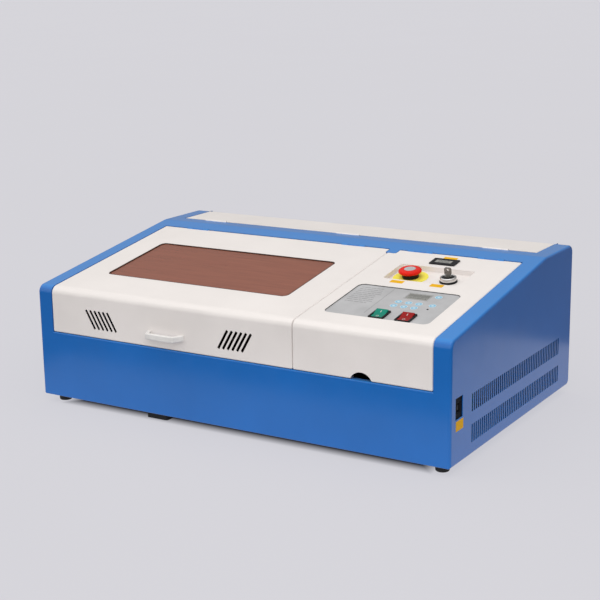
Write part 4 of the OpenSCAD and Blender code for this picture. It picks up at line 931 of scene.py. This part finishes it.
def emergency_stop():
    """Red mushroom head, its grey disc and the arrows that show which way to turn it."""
    at = on_slope(STOP_X, POCKET[3], -POCKET[4])
    angles = [math.radians(-58 + 148 * i / 18) for i in range(19)]
    bulge = [(13.8 + 6.0 * x, 12.3 + 4.2 * y) for x, y in around(1.0, angles)]
    rim = [(14.8, 13.0), (14.8, 8.9)]
    dish = [(10.6, 16.5), (10.1, 15.9), (0, 15.9), (0, 15.2), (5.05, 15.2), (5.05, 13.0)]
    with drawn("stop_mushroom", "stop_cap", "stop_red", replaces=["stop_cap"]) as bm:
        add_lathe(bm, rim + bulge + dish, at, 96)
    with drawn("stop_cap_disc", "stop_cap", "black_plastic", CAP_GREY) as bm:
        add_lathe(bm, [(0, 15.9), (9.9, 15.9), (9.9, 16.15), (9.6, 16.35), (0, 16.42)], at, 64)
    low, high = 16.3, 16.48
    with drawn("stop_arrows", "stop_cap", "stop_red", MARK) as bm:
        for turn in (0.0, math.pi):
            arc = [turn + math.radians(20 + 105 * i / 14) for i in range(15)]
            add_prism(bm, around(7.4, arc) + around(6.2, reversed(arc)), low, high, at)
            tip = around(6.8, [turn + math.radians(5)])
            add_prism(bm, around(8.4, arc[:1]) + around(5.2, arc[:1]) + tip, low, high, at)


def key_switch():
    """Black barrel of the key lock and its bright ring."""
    at = on_slope(LOCK_X, POCKET[3], -POCKET[4])
    base = [
        (6.1, -12), (9.5, -12), (9.5, 0), (14.6, 0), (15, 0.4), (15, 2.6),
        (14.4, 3.2), (13.2, 3.4), (13.2, 5.0), (10.8, 8.6), (6.1, 8.6),
    ]
    with drawn("lock_base", "panel", "black_plastic", replaces=["key_lock"]) as bm:
        add_lathe(bm, base, at)
    bezel = [
        (13.2, 3.4), (14.0, 3.6), (14.2, 4.2), (14.2, 7.6), (13.6, 9.0),
        (12.6, 9.6), (11.4, 9.4), (10.8, 8.7), (10.8, 5.0),
    ]
    with drawn("lock_bezel", "panel", "key_steel", CHROME) as bm:
        add_lathe(bm, bezel, at)


def segment_digit(bm, x, y, w, h, stroke, segments, matrix):
    """One seven-segment figure drawn as flat bars."""
    gap = 0.12 * stroke
    half = stroke / 2
    bars = {
        "a": (0, h / 2, True), "d": (0, -h / 2, True), "g": (0, 0, True),
        "b": (w / 2, h / 4, False), "c": (w / 2, -h / 4, False),
        "e": (-w / 2, -h / 4, False), "f": (-w / 2, h / 4, False),
    }
    for key in segments:
        cx, cy, flat = bars[key]
        long = (w if flat else h / 2) / 2 - gap
        side = long - half
        corners = [(-long, 0), (-side, -half), (side, -half), (long, 0), (side, half), (-side, half)]
        if not flat:
            corners = [(-b, a) for a, b in corners]
        add_prism(bm, [(x + cx + a, y + cy + b) for a, b in corners], 0, DIGIT_T, matrix)


def keypad_details():
    """Display, a dark ring round the keypad that is painted shade along its recess, printed lines and lamp.
    The print stands for text as plain bars.
    """
    face = -SHEET
    w, h, x, s = DISPLAY
    sink = 0.12
    with drawn("display_pane", "panel", "membrane_grey", LCD, edge=0.1) as bm:
        add_prism(bm, round_rect(w - 0.6, h - 0.6, 0.8, 4), -0.5, -sink, on_slope(x, s, face))
    with drawn("display_figures", "panel", "membrane_grey", SEGMENTS) as bm:
        at = on_slope(x, s, face - sink)
        for i in range(5):
            segment_digit(bm, -14.4 + 7.2 * i, 3.6, 4.2, 8.2, 1.1, "abcdefg", at)
        for i in range(8):
            add_box(bm, (-16.4 + 4.2 * i, -6.4, 0), (-13.4 + 4.2 * i, -4.4, DIGIT_T), at)

    wide, long, r, mid = KEYPAD
    at = on_slope(CONTROL_X, mid, face)
    # Dark ring round the keypad: painted shade along the edge of its recess.
    bm = bmesh.new()
    add_prism(bm, round_rect(wide - 0.1, long - 0.1, r, 12), 0, SHEET - 0.35, at)
    shade_ring = as_object("keypad_shade_ring", bm)
    with cut(shade_ring) as bm:
        add_prism(bm, round_rect(wide - 0.9, long - 0.9, r - 0.4, 12), -1, SHEET + 1, at)
    piece(shade_ring, "panel", "black_plastic", edge=0.1, material=KEYPAD_SHADE)

    with drawn("keypad_print", "panel", "membrane_grey", PRINT) as bm:
        at = on_slope(0, 0, face)
        s0, s1 = mid - long / 2, mid + long / 2
        left = CONTROL_X - wide / 2 + 9.0
        divider = CONTROL_X - 27.0
        add_box(bm, (divider - 0.35, s0 + 18, 0), (divider + 0.35, s1 - 4, INK), at)
        for row in range(9):
            line = s1 - 12 - 7.6 * row
            start = left
            for word in range(5):
                length = 4.0 + 2.2 * ((5 * row + 3 * word) % 4)
                if start + length > divider - 5:
                    break
                add_box(bm, (start, line, 0), (start + length, line + 1.5, INK), at)
                start += length + 1.6
        edge_w, edge_h, rule = w / 2 + 1.6, h / 2 + 1.6, 0.5
        for a, b, c, d in (
            (-edge_w, edge_h - rule, edge_w, edge_h), (-edge_w, -edge_h, edge_w, rule - edge_h),
            (-edge_w, -edge_h, rule - edge_w, edge_h), (edge_w - rule, -edge_h, edge_w, edge_h),
        ):
            add_box(bm, (x + a, s + b, 0), (x + c, s + d, INK), at)
    with drawn("keypad_lamp", "panel", "black_plastic") as bm:
        dome = [(0, 0), (1.7, 0), (1.7, 0.3), (1.2, 0.7), (0, 0.85)]
        add_lathe(bm, dome, on_slope(CONTROL_X + 63.4, 109.6, face), 32)


def panel_meter():
    """Meter with a sunk pane and three figures."""
    w, h, s = METER
    at = on_slope(CONTROL_X, s)
    bm = bmesh.new()
    add_prism(bm, round_rect(w, h, 2.0), 0, 2.0, at)
    bezel = as_object("meter_bezel", bm)
    with joined(bezel) as bm:
        add_prism(bm, round_rect(w - 4, h - 4, 0.5, 3), -18, 1.0, at)
    glass_x, glass_y, sunk = -2.0, 1.0, 0.9
    with cut(bezel) as bm:
        window = at @ Matrix.Translation((glass_x, glass_y, 0))
        add_prism(bm, round_rect(31.0, 13.4, 0.8, 4), sunk, 5, window)
    piece(bezel, "panel", "black_plastic", ["panel_meter"], edge=0.5, segments=3)
    pane = at @ Matrix.Translation((glass_x, glass_y, sunk))
    thick = 0.4
    with drawn("meter_glass", "panel", "black_plastic", LCD, edge=0.1) as bm:
        add_prism(bm, round_rect(30.4, 12.8, 0.6, 4), 0, thick, pane)
    with drawn("meter_figures", "panel", "black_plastic", SEGMENTS) as bm:
        face = pane @ Matrix.Translation((0, 0, thick))
        for i in range(3):
            segment_digit(bm, -7.0 + 7.0 * i, 0, 3.8, 7.6, 0.9, "abcdef", face)


def rocker_marks():
    """A bar and a ring on each rocker."""
    out, up = ROCKER_MARK
    for name, slot, x in ROCKERS:
        paddle = on_slope(x, ROCKER_S, ROCKER_PIVOT) @ Matrix.Rotation(ROCKER_TILT, 4, "X")
        with drawn(name + "_mark", name, slot, MARK) as bm:
            rear = paddle @ Matrix.Translation((0, out, up)) @ Matrix.Rotation(ROCKER_LEAN, 4, "X")
            add_prism(bm, round_rect(1.0, 4.6, 0.3, 3), 0, MARK_T, rear)
            front = paddle @ Matrix.Translation((0, -out, up)) @ Matrix.Rotation(-ROCKER_LEAN, 4, "X")
            add_lathe(bm, [(1.6, 0), (2.3, 0), (2.3, MARK_T), (1.6, MARK_T)], front, 40)


def patches():
    """Blank amber patches on the control panel and beside the connector opening."""
    for name, x0, x1, y0, y1 in (
        ("patch_meter", 233.0, 258.0, 320.5, 329.5),
        ("patch_stop", 195.0, 219.0, 193.5, 205.0),
        ("patch_lock", 267.0, 290.0, 195.5, 207.5),
    ):
        with drawn(name, "panel", "stop_yellow", STICKER, edge=0.04) as bm:
            at = on_slope((x0 + x1) / 2, (y0 + y1) / 2 / math.cos(SLOPE))
            add_prism(bm, round_rect(x1 - x0, y1 - y0, 1.0, 4), 0, PATCH, at)
    with drawn("patch_side", "case", "stop_yellow", STICKER, edge=0.03) as bm:
        at = local((SIDE_X, 31.4, 76.2), (QUARTER, "Z"), (QUARTER, "X"))
        add_prism(bm, round_rect(26.6, 16.0, 1.0, 4), 0, PATCH, at)


def control_board():
    """Circuit board with its chips, cooling fins, plugs, stand-offs and the data socket."""
    low, high = cad_box("control_board")
    wall = side_low.x
    face = low.x + 12.0
    back = face - 1.6
    rooted = back + 0.1
    with drawn("board_plate", "case", "board_green", replaces=["control_board"], edge=0.2) as bm:
        add_box(bm, (back, low.y, low.z), (face, high.y, high.z))
    with drawn("board_chips", "case", "black_plastic", edge=0.3) as bm:
        for dy, dz, w, h, t in (
            (6, 34, 12, 12, 2.2), (24, 36, 9, 15, 2.0), (24, 16, 7, 10, 1.8), (8, 10, 10, 5, 3.0),
            (high.y - low.y - 14, 30, 8, 18, 2.4),
        ):
            y, z = low.y + dy, low.z + dz
            add_box(bm, (back - t, y, z), (rooted, y + w, z + h))
    with drawn("board_fins", "case", "alloy", edge=0.15) as bm:
        y0, y1, z0, z1 = low.y + 40.0, low.y + 70.0, low.z + 12.0, low.z + 48.0
        add_box(bm, (back - 2.5, y0, z0), (rooted, y1, z1))
        fins, fin_t = 9, 1.4
        for i in range(fins):
            y = y0 + (y1 - y0 - fin_t) * i / (fins - 1)
            add_box(bm, (low.x, y, z0), (back - 2.4, y + fin_t, z1))
    with drawn("board_plugs", "case", "white_paint", GRIP, edge=0.3) as bm:
        for i in range(4):
            z = low.z + 8.0 + 11.0 * i
            add_box(bm, (back - 8.0, high.y - 6.0, z), (rooted, high.y - 1.0, z + 9.0))
    with drawn("board_standoffs", "case", "barb_brass", edge=0.2) as bm:
        hexagon = around(3.0, [math.pi * k / 3 for k in range(6)])
        for y in (low.y + 5.0, high.y - 5.0):
            for z in (low.z + 6.0, high.z - 6.0):
                add_prism(bm, hexagon, -0.1, wall - face, local((face, y, z), (QUARTER, "Y")))
    bm = bmesh.new()
    socket_box(bm, face - 0.1, wall - 1.0, 6.0, 8.0)
    socket = as_object("data_socket", bm)
    with cut(socket) as bm:
        socket_box(bm, wall - 9.0, wall + 1, 5.0, 7.0)
    with joined(socket) as bm:
        socket_box(bm, wall - 9.5, wall - 1.6, 2.6, 4.0)
    piece(socket, "case", "black_plastic", edge=0.2)


def socket_block():
    """Black surround behind the connector opening."""
    x = SIDE_X - SHEET
    bm = bmesh.new()
    socket_box(bm, x - 9.0, x - 0.3, *(half + 1.5 for half in SOCKET_HALF))
    block = as_object("socket_block", bm)
    with cut(block) as bm:
        socket_box(bm, x - 10.0, x + 1, 6.2, 8.25)
    piece(block, "case", "black_plastic", edge=0.5, material=SOCKET)


def add_screw(bm, x, z):
    """A button-head socket screw on the rear."""
    shank, head, key = 2.0, 3.4, 1.2
    angles = [math.radians(66 * i / EDGE_STEPS) for i in range(EDGE_STEPS + 1)]
    dome = [(head * math.cos(a), 0.5 + 1.7 * math.sin(a)) for a in angles]
    profile = [(0, -1.0), (shank, -1.0), (shank, 0), (head, 0), *dome, (key, 2.05), (key, 1.0), (0, 1.0)]
    add_lathe(bm, profile, local((x, DEPTH, z), (-QUARTER, "X")), 32)


def plate_screws():
    with drawn("plate_screws", "case", "dark_steel") as bm:
        x1 = RIM_X - 8.0
        for x in (-x1, -x1 / 2, 0.0, x1 / 2, x1):
            for z in (BASE_Z + 24.0, FLAP_Z - 8.0):
                add_screw(bm, x, z)
        for side in (-x1, x1):
            add_screw(bm, side, (BASE_Z + FLAP_Z) / 2 + 8)


# CAD nodes that keep their shape

SOFT_EDGES = {
    "exhaust_hood": 0.8, "mains_inlet": 0.5, "rocker_frames": 0.5, "lock_key": 0.35, "green_rocker": 0.5,
    "red_rocker": 0.5, "feet": 0.6, "case_screws": 0.5, "laser_head": 0.6, "x_motor": 0.5, "y_motor": 0.5,
    "gantry_frame": 0.6, "power_supply": 0.5, "cutting_bed": 0.3, "rail_frame": 0.5, "hose_barbs": 0.3,
    "exhaust_rotor": 0.3, "stop_disc": 0.2, "stop_collar": 0.4, "tube_saddles": 0.6, "first_mirror": 0.4,
}

# Hinge pieces that are painted together with the cover next to them
HINGE_PAINT = {
    "cover_hinge_leaves": MATERIALS["white_paint"],
    # The brackets' blue part takes the paler blue of faces lit from above, which is painted light.
    "hinge_brackets": two_paints("bracket_paint", BLUE_LIT_TOP, WHITE, STRIP_BACK - 8.0),
}


def dress_cad():
    for part in frame["record"]["subparts"]:
        obj = frame["nodes"][part["node"]]
        obj.data.materials.clear()
        obj.data.materials.append(HINGE_PAINT.get(part["node"]) or MATERIALS[part["material_slot"]])
        if part["node"] in SOFT_EDGES:
            bevel(obj, SOFT_EDGES[part["node"]], 2, 40.0)


# Stage


def look_from(position, azimuth, elevation, roll):
    """Matrix of a camera or lamp: at a place, looking along azimuth and down by elevation, rolled."""
    flat = math.cos(elevation)
    ahead = Vector((-math.sin(azimuth) * flat, math.cos(azimuth) * flat, -math.sin(elevation)))
    level = ahead.cross(Vector((0, 0, 1))).normalized()
    upright = level.cross(ahead)
    right = level * math.cos(roll) + upright * math.sin(roll)
    up = upright * math.cos(roll) - level * math.sin(roll)
    matrix = Matrix((right, up, -ahead)).transposed().to_4x4()
    matrix.translation = position
    return matrix


def sky(tree):
    """A soft sky, bright towards one direction and dim away from it."""
    background = tree.nodes["Background"]
    coords = tree.nodes.new("ShaderNodeTexCoord")
    toward = tree.nodes.new("ShaderNodeVectorMath")
    toward.operation = "DOT_PRODUCT"
    toward.inputs[1].default_value = SKY_FROM.normalized()
    tree.links.new(coords.outputs["Generated"], toward.inputs[0])
    ramp = tree.nodes.new("ShaderNodeValToRGB")
    ramp.color_ramp.elements.new(SKY_STEPS[1][0])
    for element, (at, light) in zip(ramp.color_ramp.elements, SKY_STEPS):
        element.position = at
        element.color = (light, 0.99 * light, 0.98 * light, 1.0)
    tree.links.new(toward.outputs["Value"], ramp.inputs["Fac"])
    tree.links.new(ramp.outputs["Color"], background.inputs["Color"])
    background.inputs["Strength"].default_value = SKY_STRENGTH


def table_edge():
    """A dim sheet round the table, seen only by reflections and bounced light."""
    (x0, y0), (x1, y1) = TABLE_LOW, TABLE_HIGH
    inner = [(x0, y0), (x1, y0), (x1, y1), (x0, y1)]
    middle = Vector(((x0 + x1) / 2, (y0 + y1) / 2))
    bm = bmesh.new()
    rings = []
    for grow in (1.0, TABLE_GROW):
        ring = [middle + (Vector(p) - middle) * grow for p in inner]
        rings.append([bm.verts.new((p.x, p.y + FRONT_Y * MM, TABLE_Z)) for p in ring])
    for i in range(len(inner)):
        bm.faces.new((rings[0][i - 1], rings[1][i - 1], rings[1][i], rings[0][i]))
    for face in bm.faces:
        face.normal_update()
        if face.normal.z < 0:
            face.normal_flip()
    sheet = as_object("table_surround", bm)
    n = Nodes("surround_grey")
    n.tint(n.noise(1.0), (0.3, (0.06, 0.06, 0.065)), (0.7, (0.07, 0.07, 0.075)))
    n.set(Roughness=0.9)
    n.see_through((1.0, 1.0, 1.0), n.add("ShaderNodeNewGeometry").outputs["Backfacing"])
    sheet.data.materials.append(n.material)
    sheet.visible_camera = False
    sheet.visible_shadow = False


def floor_glow_with_painted_shadow(n):
    """The floor's own even glow, with a painted shadow: it fades out from the edge of the case's outline
    inwards, under the case.
    """
    axes = n.axes(n.coords.outputs["Object"])
    middle = (FRONT_Y + DEPTH / 2) * MM
    inside = []
    for axis, center, half in (("X", 0.0, RIM_X * MM), ("Y", middle, DEPTH / 2 * MM)):
        away = n.math("ABSOLUTE", n.math("SUBTRACT", axes[axis], center))
        inside.append(n.spread(away, half, 0.0, 0.0, half))
    return n.spread(n.math("MINIMUM", *inside), FLOOR_GLOW, 0.0, *PAINTED_SHADOW_FADE)


def stage():
    scene = bpy.context.scene
    data = bpy.data.cameras.new("camera")
    data.sensor_fit = "HORIZONTAL"
    data.sensor_width = 36.0
    data.lens = CAMERA_LENS
    data.clip_end = 500.0
    scene.camera = linked("camera", data)
    scene.camera.matrix_world = look_from(CAMERA_AT, *CAMERA_TURN)

    bm = bmesh.new()
    corners = ((-1, -1), (1, -1), (1, 1), (-1, 1))
    bm.faces.new([bm.verts.new((x * FLOOR_HALF, y * FLOOR_HALF, 0.0)) for x, y in corners])
    floor = as_object("floor", bm)
    n = Nodes("floor_paper")
    n.tint(n.noise(0.8, 3.0), (0.3, (0.098, 0.097, 0.103)), (0.7, (0.102, 0.101, 0.107)))
    n.set(Roughness=0.9, Specular_IOR_Level=0.1, Emission_Color=(0.97, 0.96, 1.02, 1.0))
    # Floor glow, darkened under the case by a painted shadow.
    n.link(floor_glow_with_painted_shadow(n), n.shader.inputs["Emission Strength"])
    floor.data.materials.append(n.material)
    table_edge()

    scene.world = bpy.data.worlds.new("studio")
    scene.world.use_nodes = True
    sky(scene.world.node_tree)
    sun = bpy.data.lights.new("overhead", "SUN")
    sun.energy = SUN_POWER
    sun.angle = SUN_WIDTH
    linked("overhead", sun).rotation_euler = SUN_TURN
    box = bpy.data.lights.new("soft_box", "AREA")
    box.shape = "SQUARE"
    box.size = BOX_SIZE
    box.energy = BOX_POWER
    box.specular_factor = 0.0
    lamp = linked("soft_box", box)
    lamp.matrix_world = look_from(BOX_AT, *BOX_TURN)
    lamp.visible_glossy = False
    scene.view_settings.view_transform = "Standard"


case_shell()
lid()
window_shade_strip()
lid_grip()
control_panel()
tube_cover()
rear_plate()
emergency_stop()
key_switch()
keypad_details()
panel_meter()
rocker_marks()
patches()
control_board()
socket_block()
plate_screws()
dress_cad()
stage()
